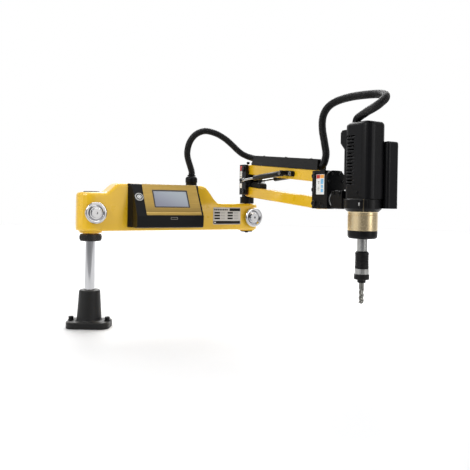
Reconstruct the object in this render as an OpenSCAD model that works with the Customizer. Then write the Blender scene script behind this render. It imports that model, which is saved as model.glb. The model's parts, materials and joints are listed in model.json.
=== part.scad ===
// Arm tapping machine: a column on a cast flange carries a swinging control arm, a lifting
// parallelogram arm held by two gas springs, and a tilting servo tapping head.
// Units are millimetres. Origin at the middle of the flange's underside, X along its two bolts,
// Z up. Every pose below is the machine at rest, and all the joints turn from there.

/* [Base] */
// Length of the base flange, along its two bolts
flange_w = 136; // [130:1:150]
// Depth of the base flange, front to back
flange_d = 92; // [84:1:110]
// Thickness of the base flange
flange_h = 20; // [16:1:26]
// Corner radius of the base flange
flange_corner_r = 28; // [16:1:34]
// Distance between the two hold-down bolts
bolt_spacing = 115; // [108:1:118]
// Thread diameter of the hold-down bolts
bolt_d = 10; // [8:1:12]
// How far the hold-down bolts stand out below the flange
bolt_reach = 18; // [12:1:30]
// Diameter of the cone boss where it leaves the flange
boss_foot_d = 77; // [72:1:84]
// Diameter of the cone boss at its top
boss_top_d = 66; // [58:1:70]
// Height of the whole base casting
base_h = 118; // [90:1:150]

/* [Column] */
// Diameter of the chromed column
column_d = 32; // [28:0.5:34]
// Diameter of the stop collar on the column
collar_d = 68; // [56:1:72]
// Height of the stop collar
collar_h = 22; // [16:1:26]
// Height of the collar's upper face above the bench
collar_top_z = 294; // [260:1:340]

/* [Control arm] */
// Distance between the column's axis and the elbow's axis
arm_reach = 565; // [545:1:600]
// Swing of the control arm at rest, from the line of the base bolts
arm_yaw = 28; // [0:1:60]
// Radius of the casing around the column
hub_r = 47; // [46:0.5:50]
// Radius of the casing around the elbow
elbow_r = 36; // [35:0.5:42]
// Height of the casing over the column, above its underside
hub_rise = 122; // [116:1:130]
// Height of the control box hump, above the casing's underside
hump_rise = 153; // [145:1:165]
// Height of the slim end of the casing, above its underside
beam_rise = 93; // [86:1:100]
// Radius of the casing's long edges
casing_edge_r = 12; // [6:0.5:14]
// Diameter of the two chromed lock knobs
knob_d = 67; // [58:1:70]
// Thickness of a lock knob's rim
knob_t = 17; // [14:1:22]

/* [Control panel] */
// Length of the control bezel along the arm
bezel_w = 240; // [225:1:244]
// Height of the panel plate along its slope
panel_h = 112; // [104:1:114]
// Lean of the panel plate from upright
panel_tilt = 29.4; // [24:0.2:32]
// Width of the touch screen's frame
screen_w = 122; // [100:1:128]
// Height of the touch screen's frame
screen_h = 65; // [56:1:72]
// Diameter of the power button's cap
button_d = 22; // [16:0.5:23]

/* [Lifting arm] */
// Swing of the lifting arm at rest, from the control arm's line
elbow_turn = -88.5; // [-110:0.5:-60]
// Distance between the pivots of each link
link_len = 414; // [400:1:440]
// Height of a link's section
link_h = 35; // [30:0.5:38]
// Width of a link's section
link_w = 32; // [26:0.5:34]
// Vertical distance between the upper and the lower link
link_spacing = 80; // [76:0.5:90]
// Downward slope of the links at rest
link_pitch = 4.9; // [2:0.1:8]
// Diameter of the four link pivots
pivot_d = 12; // [10:0.5:13]
// Width over the yoke's cheeks, and over the end block's
yoke_w = 64; // [62:0.5:70]
// Thickness of the yoke's cheeks
cheek_t = 11.5; // [8:0.5:11.5]
// Width of the cable duct on the upper link
duct_w = 34; // [30:0.5:38]
// Height of the cable duct
duct_h = 33; // [28:0.5:36]

/* [Gas springs] */
// Diameter of a gas spring's cylinder
gas_d = 18; // [14:0.5:18]
// Diameter of a gas spring's rod
gas_rod_d = 8; // [6:0.5:9]
// Length of a gas spring's cylinder
gas_cylinder_len = 158; // [150:1:168]

/* [Head] */
// Distance from the swivel hub's outer face to the spindle's axis
head_offset = 58; // [53:0.5:70]
// Length of the swivel hub along the arm
hub_l = 46; // [42:1:60]
// Length of the motor shroud along the arm
shroud_l = 100; // [94:1:106]
// Width of the motor shroud across the arm
shroud_w = 72; // [70:1:80]
// Height of the motor shroud
shroud_h = 207; // [190:1:220]
// Corner radius of the motor shroud
shroud_r = 25; // [16:1:30]
// Wall of the motor shroud
shroud_wall = 3; // [2:0.2:4]
// Number of vent slots in the shroud
vent_count = 15; // [8:1:16]
// Outer diameter of the clamp ring under the shroud
clamp_d = 100; // [94:1:106]
// Diameter of the gearbox
gearbox_d = 80; // [74:1:84]
// Height of the gearbox's visible barrel
gearbox_h = 50; // [44:1:60]

/* [Chuck and tap] */
// Diameter of the spindle
spindle_d = 28; // [24:0.5:30]
// Outer diameter of the quick-change sleeve
sleeve_d = 37.5; // [36:0.5:40]
// Length of the quick-change sleeve
sleeve_h = 47; // [42:1:52]
// Shank diameter of the tap
tap_d = 14; // [8:0.5:16]
// How far the tap stands out of its holder
tap_reach = 59; // [45:1:80]
// Number of flutes of the tap
flute_count = 3; // [2:1:4]

/* [Hoses] */
// Outer diameter of the ribbed hoses
hose_d = 22.5; // [20:0.5:23]
// Bore of the ribbed hoses
hose_bore = 16; // [14:0.5:17]

/* [Hidden] */
$fn = 72;

// Shared clearances and small sizes
cut = 1;                 // overrun of every cut
fit_gap = 0.02;          // radial gap of a fixed fit
run_gap = 0.05;          // radial gap of a running fit
seat_gap = 0.3;          // gap between pieces that only lie beside each other
chamfer = 1.2;           // edge break of turned pieces
socket_depth_share = 0.55;
socket_width_share = 0.5;
head_width_share = 0.8;  // radius of a socket screw's head over its thread diameter
hull_fn = 32;

// Base
flange_edge = 2;
boss_rim_r = 6;
boss_foot_r = 7;
boss_seat_z = flange_h;            // the column stands on this floor in the boss
bolt_play = 1.5;
bolt_neck = 0.5;          // the shank is thicker inside the flange
bolt_head_h = bolt_d;
bolt_washer_t = 2;

// Column and collar
arc_steps = 6;
thrust_gap = 0.3;
thrust_t = 3.2;
thrust_d = 50;
collar_slit = 2;
collar_edge = 2;
hub_boss_d = 72;
hub_boss_h = 6.2;
casing_z = collar_top_z + thrust_t + 2 * thrust_gap + hub_boss_h;
casing_top = casing_z + hub_rise;
hump_z = casing_z + hump_rise;
beam_z = casing_z + beam_rise;
column_head_gap = 4;
column_top = casing_top - column_head_gap;
bush_wall = 4;
bush_l = 25;
bush_sink = 3;
column_bore_d = column_d + 2 * bush_wall;

// Casing outline along the arm
hump_start = 33;
hump_rise_l = 48;
hump_fall_l = 68;
hump_end = 438;
rise_steps = 7;
fall_steps = 8;
end_angles = [8, 18, 30, 44, 60, 76, 90];
corner_steps = 5;
casing_low_r = 8;
casing_wall = 9;
box_cavity_x0 = 100;
box_cavity_x1 = 345;
beam_cavity_x1 = 505;
beam_wall = 10;
top_wall = 12;
cap_d = 50;
cap_t = 3;
cap_screw_d = 3;
cap_screw_count = 4;
cap_screw_share = 0.76;

// Rear cover and power inlet on the casing's hidden side
cover_seat = 41;
cover_t = 3;
cover_x0 = 112;
cover_w = 220;
cover_h = 104;
cover_rise = 18;
cover_z0 = casing_z + cover_rise;
cover_lip = 8;
cover_corner_r = 8;
inlet_x = 46;
inlet_w = 48;
inlet_h = 28;
inlet_t = 5;
inlet_depth = 22;
inlet_socket_w = 25;
inlet_socket_h = 17;
inlet_wall = 3;
inlet_r = 4;
pin_t = 2;
pin_w = 4;
pin_l = 14;
pin_pitch = 7;

// Lock knobs: dished wheels on threaded studs that push brass pads
knob_screw_d = 10;
knob_boss_d = 31;
knob_boss_rise = 3;
knob_dish_t = 5;
knob_rim_w = 7;
knob_edge = 4;
knob_socket = 9;
knob_socket_t = 6;
knob_clear = 1.2;
knob_collar_d = 24;
knob_collar_t = 3;
column_knob_up = 58;
elbow_knob_up = 45;
column_knob_z = casing_z + column_knob_up;
elbow_knob_z = casing_z + elbow_knob_up;
pad_t = 5;
pad_gap = 0.2;
stud_gap = 0.1;

// Control bezel, a wedge on the casing's front
bezel_x0 = 105;
bezel_seat = 38;         // the casing's flat seat, from the arm's middle plane
bezel_rise = 13;
bezel_roof_drop = 1;
bezel_z0 = casing_z + bezel_rise;
bezel_roof_z = hump_z - bezel_roof_drop;
bezel_flare = 48;
bezel_front_inset = 9;
bezel_far_inset = 5;
bezel_flare_end = 70;
bezel_roof_d = 54;
bezel_wall = 4;
bezel_shell = 9;         // behind the sloped face, where the screen is sunk in
panel_top_d = 59;
panel_brow = 1.8;
panel_far = 11;
panel_share = 0.7875;
panel_w = bezel_w * panel_share;
panel_top_z = bezel_roof_z - panel_brow;
panel_x0 = bezel_x0 + bezel_w - panel_far - panel_w;
panel_t = 3;
panel_proud = 2;
panel_low_d = panel_top_d + panel_h * sin(panel_tilt);
panel_low_z = panel_top_z - panel_h * cos(panel_tilt);
chin_lip = 2.5;
chin_back = 6;
chin_edge = 7;
panel_r = 2;
screen_off = 3;
screen_x = (panel_w - screen_w) / 2 - screen_off;
screen_drop = 20;
screen_border = 4;
screen_t = 6;
glass_sink = 1.2;
glass_t = 2.5;
screen_play = 0.15;
button_side = 15;
button_drop = 47;
button_ring_d = 28;
button_ring_t = 4;
button_ring_proud = 1.6;
button_gap = 0.3;
button_proud = 2.6;
button_h = 9;
button_travel = 2;
button_pocket = 14;

// Hose gland on the control box
gland_x = 344;
gland_d = 38;
gland_nut_d = 41;
gland_base_h = 8;
gland_h = 36;
gland_nut_h = 24;
gland_neck_d = 28;
gland_sink = 0.4;

// Elbow: shaft, two ball bearings, retainer
elbow_shaft_d = 25;
bearing_d = 47;
bearing_t = 12;
bearing_sink = 3;
race_share = 0.32;
ball_share = 0.6;
elbow_bore_d = 36;
elbow_boss_d = 60;
elbow_boss_h = 4;
elbow_gap = 0.6;
hub_disc_d = 50;
hub_disc_h = 23.4;
hub_disc_z0 = beam_z + elbow_gap;
hub_disc_top = hub_disc_z0 + hub_disc_h;
retainer_d = 44;
retainer_t = 4;
retainer_screw_d = 8;
elbow_shaft_z0 = casing_z - elbow_boss_h - elbow_gap;

// Yoke
yoke_front = 42;
yoke_web_t = 8.5;
yoke_pivot_x = 27;
link_clear = 1;
cheek_below = 10.5;
cheek_above = 16.5;
lower_pivot_z = hub_disc_top + link_h / 2 + link_clear;
upper_pivot_z = lower_pivot_z + link_spacing;
cheek_z0 = lower_pivot_z - cheek_below;
cheek_z1 = upper_pivot_z + cheek_above;
yoke_corner_r = 5;
yoke_rib_t = 22;
yoke_rib_l = 18;
yoke_rib_h = 70;
pin_head_t = 4;
pin_head_d = 18;
pin_washer_gap = 0.3;
yoke_half = yoke_w / 2;
cheek_gap = yoke_half - cheek_t;
yoke_knob_d = 11;
yoke_knob_h = 12;
yoke_knob_neck_d = 6;
yoke_knob_neck_h = 4;

// Links
link_edge = 2;
bush_flange_d = 26;
bush_flange_gap = 0.3;
link_bush_wall = 2.5;
stop_x0 = 20;
stop_l = 62;
stop_h = 18;
stop_w = 26;
stop_slope = 6;

// Cable duct, a bent cover on the upper link
duct_x0 = 23;
duct_slant = 22;
duct_x1 = 405;
duct_in_share = 0.55;    // heights and leans of the hoses at its two ends
duct_in_lean = 15;
duct_out_share = 0.4;
duct_out_lean = 45;
duct_wall = 2.5;
duct_edge = 3;

// Gas springs: rod pivoted on the yoke, cylinder on the upper link
spring_y = 42;
spring_foot_x = 36;
spring_foot_rise = 51;
spring_foot_z = cheek_z0 + spring_foot_rise;
spring_head_x = 255;
spring_aim = -0.28;      // aims the cylinder between its places at the ends of the lift
foot_eye_d = 15;
foot_eye_t = 10.6;
stud_d = 8;
stud_head_d = 13;
stud_head_t = 3;
head_eye_d = 19;
head_eye_t = 9;
head_eye_play = 2.2;     // the linkage is open here
bracket_l = 52;
bracket_x = 14;
bracket_h = 17;
bracket_t = 5;
bracket_screw_d = 8;
gas_nose_l = 6;
gas_neck_d = 10;
gas_neck_l = 14;
gas_cap_l = 8;

// End block
block_x0 = -9.5;
block_x1 = 47.5;
block_cheek_l = 30.5;
block_over = 15.4;
block_edge = 3;
block_bolt_z = 40;
end_rise = upper_pivot_z - link_len * sin(link_pitch);
end_x = yoke_pivot_x + link_len * cos(link_pitch);
end_low_z = end_rise - link_spacing;

// Swivel: plate, shaft, hub
swivel_plate_t = 12;
swivel_plate_r = 22;
swivel_x = end_x + block_x1;
tilt_rise = 11.4;
tilt_z = end_low_z + tilt_rise;
swivel_disc_d = 54;
swivel_disc_t = 7;
swivel_shaft_d = 28;
hub_neck_l = 3.7;
hub_x0 = swivel_x + swivel_plate_t + swivel_disc_t + hub_neck_l + seat_gap;
head_reach = hub_x0 + hub_l + head_offset;
swivel_hub_w = 50;
swivel_hub_h = 51;
hub_slit = 2;
hub_floor = 5;
hub_edge = 3;
hub_screw_d = 6;
hub_screw_up = 19;
hub_screw_side = 12;
hub_neck_d = 40;

// Motor clamp and motor
clamp_drop = 31;
clamp_z0 = tilt_z - clamp_drop;
clamp_h = 34;
clamp_top = clamp_z0 + clamp_h;
clamp_bore_d = 76;
clamp_arm_w = 44;
clamp_lug_w = 20;
clamp_lug_l = 9;
clamp_lug_turn = -40;
clamp_slit = 3;
clamp_edge = 2;
clamp_low = 8;
motor_w = 46;
motor_h = 122;
motor_r = 5;
encoder_w = 40;
encoder_h = 36;
motor_flange_w = 48;
motor_flange_t = 5;

// Shroud, vents, rear channel and side box
shroud_shift = 4;
shroud_edge_r = 12;
vent_l = 32;
vent_h = 4;
vent_pitch = 9.2;
vent_x0 = -33;
vent_z0 = 38;
channel_w = 40;
channel_low = 24;
channel_top = 190;
channel_bulge = 36;
channel_out = 23;
channel_step = 6;
channel_taper = 18;
channel_edge = 7;
side_x0 = -32;
side_x1 = 60;
side_y0 = 30;
side_y1 = 71.5;
side_z0 = -25;
side_h = 180;
side_r = 9;
side_edge = 7;
side_wall = 3;
head_gland_x = -24;
head_gland_y = -6;
head_gland_d = 26;
head_gland_h = 3;
head_gland_bend = 12;
head_gland_lean = 70;

// Gearbox, spindle and chuck
gearbox_spigot_gap = 0.02;
gear_cone_h = 1;
gear_groove = 1;
gear_groove_z = 9;
cap_h = 22;
cap_r = 8;
spindle_bearing_d = 52;
spindle_bearing_t = 12;
spindle_bore_d = 34;
spindle_show = 34;
spindle_top_gap = 6;
sleeve_gap = 0.3;
chuck_core_d = 30;
chuck_ring_h = 14.5;
chuck_ring_d = 38.5;
rib_count = 7;
rib_depth = 1.4;
sleeve_lead = 8;
collet_ring_d = 41.5;
collet_ring_h = 14.5;
collet_nose_d = 22.5;
collet_nose_h = 9;
collet_shank_d = 20;
collet_shank_l = 30;
tap_sink = 18;
tap_flute_l = 42;
tap_point_l = 4;
tap_core_share = 0.5;
tap_turns = 0.9;
tap_slices = 28;
flute_share = 0.34;
tap_tip_share = 0.9;

// Hoses
hose_groove = 1;
hose_sides = 8;
arm_ribs = 76;
head_ribs = 112;
hose_fine = 10;
hose_lead = 14;           // straight run at each end
// Route of the arm hose, in the control arm's frame
arm_route = [
    [329, 2, 555], [330, 2, 587], [341, 1, 615], [362, -1, 637], [394, -3, 648],
    [434, -6, 641], [467, -9, 625], [494, -10, 606], [514, -12, 589], [532, -17, 575],
    [549, -26, 566], [561, -38, 561]
];
// Route of the head hose, in the elbow's frame
head_route = [
    [453, -1, 550], [450, -5, 584], [446, -10, 620], [449, -13, 651], [461, -13, 674],
    [482, -10, 690], [516, -6, 699], [565, -2, 702], [615, 1, 700], [657, 2, 696],
    [686, -4, 690], [706, -14, 683], [719, -28, 672], [716, -39, 661], [698, -37, 655],
    [672, -28, 652], [645, -17, 650.5], [626, -9, 648.5]
];

// Vectors and frames as functions
function unit(v) = v / norm(v);
function turn_z(p, a) = [p.x * cos(a) - p.y * sin(a), p.x * sin(a) + p.y * cos(a), p.z];
function turn_y(p, a) = [p.x * cos(a) + p.z * sin(a), p.y, p.z * cos(a) - p.x * sin(a)];
function from_arm(p) = turn_z(p, arm_yaw);
function from_elbow(p) = from_arm(turn_z(p, elbow_turn) + [arm_reach, 0, 0]);
function from_upper(p) = from_elbow(turn_y(p, link_pitch) + [yoke_pivot_x, 0, upper_pivot_z]);
function smooth(t) = let (c = min(1, max(0, t))) c * c * (3 - 2 * c);
function arc(x, y, r, a0, a1, steps = arc_steps) =
    [for (i = [0:steps]) let (a = a0 + (a1 - a0) * i / steps) [x + r * cos(a), y + r * sin(a)]];

// Frames of the moving groups
module at_arm() rotate([0, 0, arm_yaw]) children();
module at_elbow() at_arm() translate([arm_reach, 0, 0]) rotate([0, 0, elbow_turn]) children();
module at_upper()
    at_elbow() translate([yoke_pivot_x, 0, upper_pivot_z]) rotate([0, link_pitch, 0]) children();
module at_lower()
    at_elbow() translate([yoke_pivot_x, 0, lower_pivot_z]) rotate([0, link_pitch, 0]) children();
module at_end() at_elbow() translate([end_x, 0, end_low_z]) children();
module at_head() at_elbow() translate([head_reach, 0, 0]) children();
module at_panel()
    at_arm() translate([panel_x0, -panel_top_d, panel_top_z])
        rotate([90 - panel_tilt, 0, 0]) children();

// Small shapes that repeat
module up(z) translate([0, 0, z]) children();
module along_x() rotate([0, 90, 0]) children();
module along_y() rotate([-90, 0, 0]) children();
module tube(d, bore, h) {
    difference() {
        cylinder(d = d, h = h);
        up(-cut) cylinder(d = bore, h = h + 2 * cut);
    }
}
module turned_disc(d, h, edge) {
    rotate_extrude()
        polygon([[0, 0], [d / 2 - edge, 0], [d / 2, edge], [d / 2, h - edge],
                 [d / 2 - edge, h], [0, h]]);
}
// A flat rounded plate on the XY plane, centred
module rounded_plate(w, d, r, h) {
    linear_extrude(h) {
        square([w - 2 * r, d], center = true);
        square([w, d - 2 * r], center = true);
        for (x = [-1, 1], y = [-1, 1])
            translate([x * (w / 2 - r), y * (d / 2 - r)]) circle(r);
    }
}
// A socket head screw, its shank below the XY plane
module socket_screw(d, shank, head_h) {
    difference() {
        union() {
            turned_disc(2 * head_width_share * d, head_h, chamfer * head_h / (head_h + d));
            up(-shank) cylinder(d = d, h = shank + head_h / 2);
        }
        up(head_h * (1 - socket_depth_share))
            cylinder(r = socket_width_share * d, h = head_h, $fn = 6);
    }
}
// A ball bearing: two races, and a ring for the balls
module ball_bearing(d, bore, t) {
    wall = (d - bore) / 2;
    tube(d, d - 2 * race_share * wall, t);
    tube(bore + 2 * race_share * wall, bore, t);
    up(t * (1 - ball_share) / 2)
        tube(d - race_share * wall, bore + race_share * wall, t * ball_share);
}

// Base
module base_flange() {
    color("dimgray") difference() {
        union() {
            rounded_plate(flange_w, flange_d, flange_corner_r, flange_h - flange_edge);
            up(flange_h - flange_edge)
                rounded_plate(flange_w - 2 * flange_edge, flange_d - 2 * flange_edge,
                              flange_corner_r - flange_edge, flange_edge);
            rotate_extrude()
                polygon(concat(
                    [[0, cut], [boss_foot_d / 2 + boss_foot_r, cut],
                     [boss_foot_d / 2 + boss_foot_r, flange_h]],
                    [for (p = arc(boss_foot_d / 2 + boss_foot_r, flange_h + boss_foot_r,
                                  boss_foot_r, 270, 180)) p],
                    arc(boss_top_d / 2 - boss_rim_r, base_h - boss_rim_r, boss_rim_r, 0, 90),
                    [[0, base_h]]
                ));
        }
        up(boss_seat_z) cylinder(d = column_d + 2 * fit_gap, h = base_h);
        for (x = [-1, 1])
            translate([x * bolt_spacing / 2, 0, -cut])
                cylinder(d = bolt_d + bolt_play, h = flange_h + 2 * cut);
    }
}
module base_bolts() {
    color("black") for (x = [-1, 1])
        translate([x * bolt_spacing / 2, 0, flange_h]) {
            tube(bolt_head_h * 2, bolt_d - fit_gap, bolt_washer_t);
            up(bolt_washer_t)
                socket_screw(bolt_d, bolt_reach + flange_h + bolt_washer_t, bolt_head_h);
            up(-flange_h - seat_gap)
                cylinder(d = bolt_d + bolt_neck, h = flange_h + seat_gap + bolt_washer_t);
        }
}

// Column
module column() {
    color("silver") up(boss_seat_z)
        turned_disc(column_d, column_top - boss_seat_z, chamfer);
}
module column_collar() {
    color("black") up(collar_top_z - collar_h) difference() {
        turned_disc(collar_d, collar_h, collar_edge);
        up(-cut) cylinder(d = column_d + 2 * fit_gap, h = collar_h + 2 * cut);
        rotate([0, 0, arm_yaw]) translate([0, -collar_slit / 2, -cut])
            cube([collar_d, collar_slit, collar_h + 2 * cut]);
    }
}
module thrust_washer() {
    color("peru") up(collar_top_z + thrust_gap)
        tube(thrust_d, column_d + 2 * run_gap, thrust_t);
}

// Casing: a loft of rounded sections along the arm
function casing_half(s) =
    s < 0 ? sqrt(hub_r * hub_r - s * s)
    : s > arm_reach ? sqrt(elbow_r * elbow_r - pow(s - arm_reach, 2))
    : hub_r + (elbow_r - hub_r) * s / arm_reach;
function casing_roof(s) =
    casing_top + (hump_z - casing_top) * smooth((s - hump_start) / hump_rise_l)
    - (hump_z - beam_z) * smooth((s - hump_end + hump_fall_l) / hump_fall_l);
function end_distance(s) = min(s + hub_r, arm_reach + elbow_r - s);
function edge_drop(e, r) = e >= r ? 0 : r - sqrt(r * r - (r - e) * (r - e));
function casing_ring(s) =
    let (
        w = casing_half(s),
        e = end_distance(s),
        zt = casing_roof(s) - edge_drop(e, casing_edge_r),
        zb = casing_z + edge_drop(e, casing_low_r),
        rt = min(casing_edge_r, w * head_width_share),
        rb = min(casing_low_r, w * head_width_share)
    )
    concat(
        [for (p = arc(w - rt, zt - rt, rt, 0, 90, corner_steps)) [s, p.x, p.y]],
        [for (p = arc(rt - w, zt - rt, rt, 90, 180, corner_steps)) [s, p.x, p.y]],
        [for (p = arc(rb - w, zb + rb, rb, 180, 270, corner_steps)) [s, p.x, p.y]],
        [for (p = arc(w - rb, zb + rb, rb, 270, 360, corner_steps)) [s, p.x, p.y]]
    );
casing_stations = concat(
    [for (a = end_angles) -hub_r * cos(a)],
    [for (i = [0:rise_steps]) hump_start + hump_rise_l * i / rise_steps],
    [for (i = [0:fall_steps]) hump_end - hump_fall_l + hump_fall_l * i / fall_steps],
    [for (i = [len(end_angles) - 1:-1:0]) arm_reach + elbow_r * cos(end_angles[i])]
);
// A closed loft through rings of equal point counts
module loft(rings) {
    n = len(rings[0]);
    last = len(rings) - 1;
    polyhedron(
        points = [for (r = rings) each r],
        faces = concat(
            [[for (j = [0:n - 1]) j]],
            [for (i = [0:last - 1], j = [0:n - 1])
                let (k = (j + 1) % n) [i * n + k, i * n + j, (i + 1) * n + k]],
            [for (i = [0:last - 1], j = [0:n - 1])
                let (k = (j + 1) % n) [(i + 1) * n + k, i * n + j, (i + 1) * n + j]],
            [[for (j = [n - 1:-1:0]) last * n + j]]
        )
    );
}
module casing_cavity() {
    translate([box_cavity_x0, casing_wall - bezel_seat, casing_z + casing_wall])
        cube([box_cavity_x1 - box_cavity_x0, bezel_seat + cover_seat - 2 * casing_wall,
              hump_rise - casing_wall - top_wall]);
    translate([box_cavity_x1 - cut, beam_wall - elbow_r, casing_z + casing_wall])
        cube([beam_cavity_x1 - box_cavity_x1 + cut, 2 * (elbow_r - beam_wall),
              beam_rise - casing_wall - top_wall]);
}
module knob_hole(x, z, from_r) {
    translate([x, -hub_r - cut, z]) along_y()
        cylinder(d = knob_screw_d + 2 * stud_gap, h = hub_r + cut - from_r / 2);
}
module arm_casing() {
    color("gold") at_arm() difference() {
        union() {
            loft([for (s = casing_stations) casing_ring(s)]);
            up(casing_z - hub_boss_h)
                cylinder(d = hub_boss_d, h = hub_boss_h + casing_low_r);
            translate([arm_reach, 0, casing_z - elbow_boss_h])
                cylinder(d = elbow_boss_d, h = elbow_boss_h + casing_low_r);
        }
        up(casing_z - hub_boss_h - cut)
            cylinder(d = column_bore_d, h = hub_rise + hub_boss_h + 2 * cut);
        translate([arm_reach, 0, casing_z - elbow_boss_h - cut])
            cylinder(d = elbow_bore_d, h = beam_rise + elbow_boss_h + 2 * cut);
        translate([arm_reach, 0, beam_z - bearing_sink - bearing_t])
            cylinder(d = bearing_d, h = bearing_sink + bearing_t + cut);
        translate([arm_reach, 0, casing_z - elbow_boss_h - cut])
            cylinder(d = bearing_d, h = bearing_sink + bearing_t + cut);
        knob_hole(0, column_knob_z, column_d);
        knob_hole(arm_reach, elbow_knob_z, elbow_shaft_d);
        translate([bezel_x0, -2 * hub_r, bezel_z0])
            cube([bezel_w, 2 * hub_r - bezel_seat, hump_rise]);
        translate([cover_x0, cover_seat, cover_z0]) cube([cover_w, hub_r, cover_h]);
        translate([cover_x0 + cover_lip, 0, cover_z0 + cover_lip])
            cube([cover_w - 2 * cover_lip, hub_r, cover_h - 2 * cover_lip]);
        casing_cavity();
        translate([gland_x, 0, hump_z - gland_sink])
            cylinder(d = gland_d, h = gland_h);
        translate([gland_x, 0, hump_z - top_wall - 2 * cut])
            cylinder(d = hose_bore, h = gland_h);
    }
}
module column_bushes() {
    color("peru") at_arm()
        for (z = [casing_z - hub_boss_h, casing_top - bush_sink - bush_l])
            up(z) tube(column_bore_d, column_d + 2 * run_gap, bush_l);
}
module top_cap() {
    color("black") at_arm() up(casing_top) difference() {
        turned_disc(cap_d, cap_t, cap_t / 3);
        for (i = [1:cap_screw_count])
            rotate([0, 0, i * 360 / cap_screw_count])
                translate([cap_screw_share * cap_d / 2, 0, cap_t / 2])
                    cylinder(d = cap_screw_d * 2, h = cap_t);
    }
}
module rear_cover() {
    color("black") at_arm() difference() {
        translate([cover_x0 + cover_w / 2, cover_seat + cover_t, cover_z0 + cover_h / 2])
            rotate([90, 0, 0])
                rounded_plate(cover_w - 2 * fit_gap, cover_h - 2 * fit_gap, cover_corner_r, cover_t);
        translate([cover_x0 + inlet_x, cover_seat - cut, cover_z0 + cover_h / 2])
            along_y()
                rounded_plate(inlet_w - 2 * inlet_wall, inlet_h - 2 * inlet_wall, inlet_r,
                              cover_t + 2 * cut);
    }
}
module power_inlet() {
    color("dimgray") at_arm()
        translate([cover_x0 + inlet_x, cover_seat + cover_t, cover_z0 + cover_h / 2]) along_y() {
            difference() {
                union() {
                    rounded_plate(inlet_w, inlet_h, inlet_r, inlet_t);
                    up(-inlet_depth)
                        rounded_plate(inlet_w - 2 * inlet_wall - 2 * screen_play,
                                      inlet_h - 2 * inlet_wall - 2 * screen_play, inlet_r,
                                      inlet_depth + cut);
                }
                up(inlet_wall - inlet_depth)
                    rounded_plate(inlet_socket_w, inlet_socket_h, inlet_wall,
                                  inlet_depth + inlet_t);
            }
            for (i = [-1:1])
                translate([i * pin_pitch - pin_t / 2, -pin_w / 2, inlet_wall - inlet_depth - cut])
                    cube([pin_t, pin_w, pin_l]);
        }
}

// Lock knobs and the brass pads that they push
module lock_knob(face_r, stud_end) {
    stud_l = face_r + knob_clear - stud_end;
    // The wheel faces -Y, its stud runs inwards
    translate([0, -face_r - knob_clear - knob_collar_t, 0]) rotate([90, 0, 0]) {
        difference() {
            rotate_extrude()
                polygon(concat(
                    [[0, 0], [knob_d / 2 - knob_edge, 0]],
                    arc(knob_d / 2 - knob_edge, knob_edge, knob_edge, 270, 360),
                    arc(knob_d / 2 - knob_edge, knob_t - knob_edge, knob_edge, 0, 90),
                    [[knob_d / 2 - knob_rim_w, knob_t],
                     [knob_boss_d / 2 + knob_edge, knob_t - knob_dish_t],
                     [knob_boss_d / 2, knob_t - knob_dish_t],
                     [knob_boss_d / 2, knob_t + knob_boss_rise - chamfer],
                     [knob_boss_d / 2 - chamfer, knob_t + knob_boss_rise],
                     [0, knob_t + knob_boss_rise]]
                ));
            up(knob_t + knob_boss_rise - knob_socket_t)
                cylinder(d = knob_socket, h = knob_socket_t + cut, $fn = 6);
        }
        up(-knob_collar_t) cylinder(d = knob_collar_d, h = knob_collar_t + cut);
        up(-knob_collar_t - stud_l) cylinder(d = knob_screw_d, h = stud_l + cut);
    }
}
module column_lock_knob() {
    color("silver") at_arm() up(column_knob_z)
        lock_knob(hub_r, column_d / 2 + pad_t + 2 * pad_gap);
}
module elbow_lock_knob() {
    color("silver") at_arm() translate([arm_reach, 0, elbow_knob_z])
        lock_knob(elbow_r, elbow_shaft_d / 2 + pad_t + 2 * pad_gap);
}
module lock_pads() {
    color("goldenrod") at_arm() {
        translate([0, -column_d / 2 - pad_gap, column_knob_z]) rotate([90, 0, 0])
            cylinder(d = knob_screw_d, h = pad_t);
        translate([arm_reach, -elbow_shaft_d / 2 - pad_gap, elbow_knob_z]) rotate([90, 0, 0])
            cylinder(d = knob_screw_d, h = pad_t);
    }
}

// Control panel
bezel_profile = concat(
    [[bezel_seat, bezel_z0], [bezel_seat, bezel_roof_z], [bezel_roof_d, bezel_roof_z],
     [panel_top_d, panel_top_z], [panel_low_d + chin_lip, panel_low_z - chin_lip]],
    arc(panel_low_d - chin_back, bezel_z0 + chin_edge, chin_edge, 0, -90)
);
module bezel_block() {
    intersection() {
        translate([bezel_x0, 0, 0]) rotate([90, 0, 90])
            linear_extrude(bezel_w) polygon([for (p = bezel_profile) [-p.x, p.y]]);
        up(bezel_z0 - cut) linear_extrude(hump_rise)
            polygon([
                [bezel_x0, 0], [bezel_x0, -bezel_flare],
                [bezel_x0 + bezel_front_inset, -bezel_flare_end],
                [bezel_x0 + bezel_front_inset, -panel_low_d - panel_w],
                [bezel_x0 + bezel_w - bezel_far_inset, -panel_low_d - panel_w],
                [bezel_x0 + bezel_w - bezel_far_inset, -bezel_flare_end],
                [bezel_x0 + bezel_w, -bezel_flare], [bezel_x0 + bezel_w, 0]
            ]);
    }
}
function shell_d(z) =
    panel_top_d + (panel_top_z - z) * tan(panel_tilt) - bezel_shell / cos(panel_tilt);
module bezel_cavity() {
    z1 = bezel_roof_z - bezel_wall;
    translate([bezel_x0 + bezel_front_inset + bezel_wall, 0, 0]) rotate([90, 0, 90])
        linear_extrude(bezel_w - bezel_front_inset - bezel_far_inset - 2 * bezel_wall)
            polygon([[cut - bezel_seat, bezel_z0 + bezel_wall], [cut - bezel_seat, z1],
                     [-shell_d(z1), z1], [-shell_d(panel_low_z), panel_low_z],
                     [chin_back + bezel_wall - panel_low_d, bezel_z0 + bezel_wall]]);
}
module panel_outline(w, h, t) {
    translate([panel_w / 2, -panel_h / 2, 0]) rounded_plate(w, h, panel_r, t);
}
module screen_place()
    translate([screen_x + screen_w / 2, -screen_drop - screen_h / 2, 0]) children();
module button_place() translate([-button_side, -button_drop, 0]) children();
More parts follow.
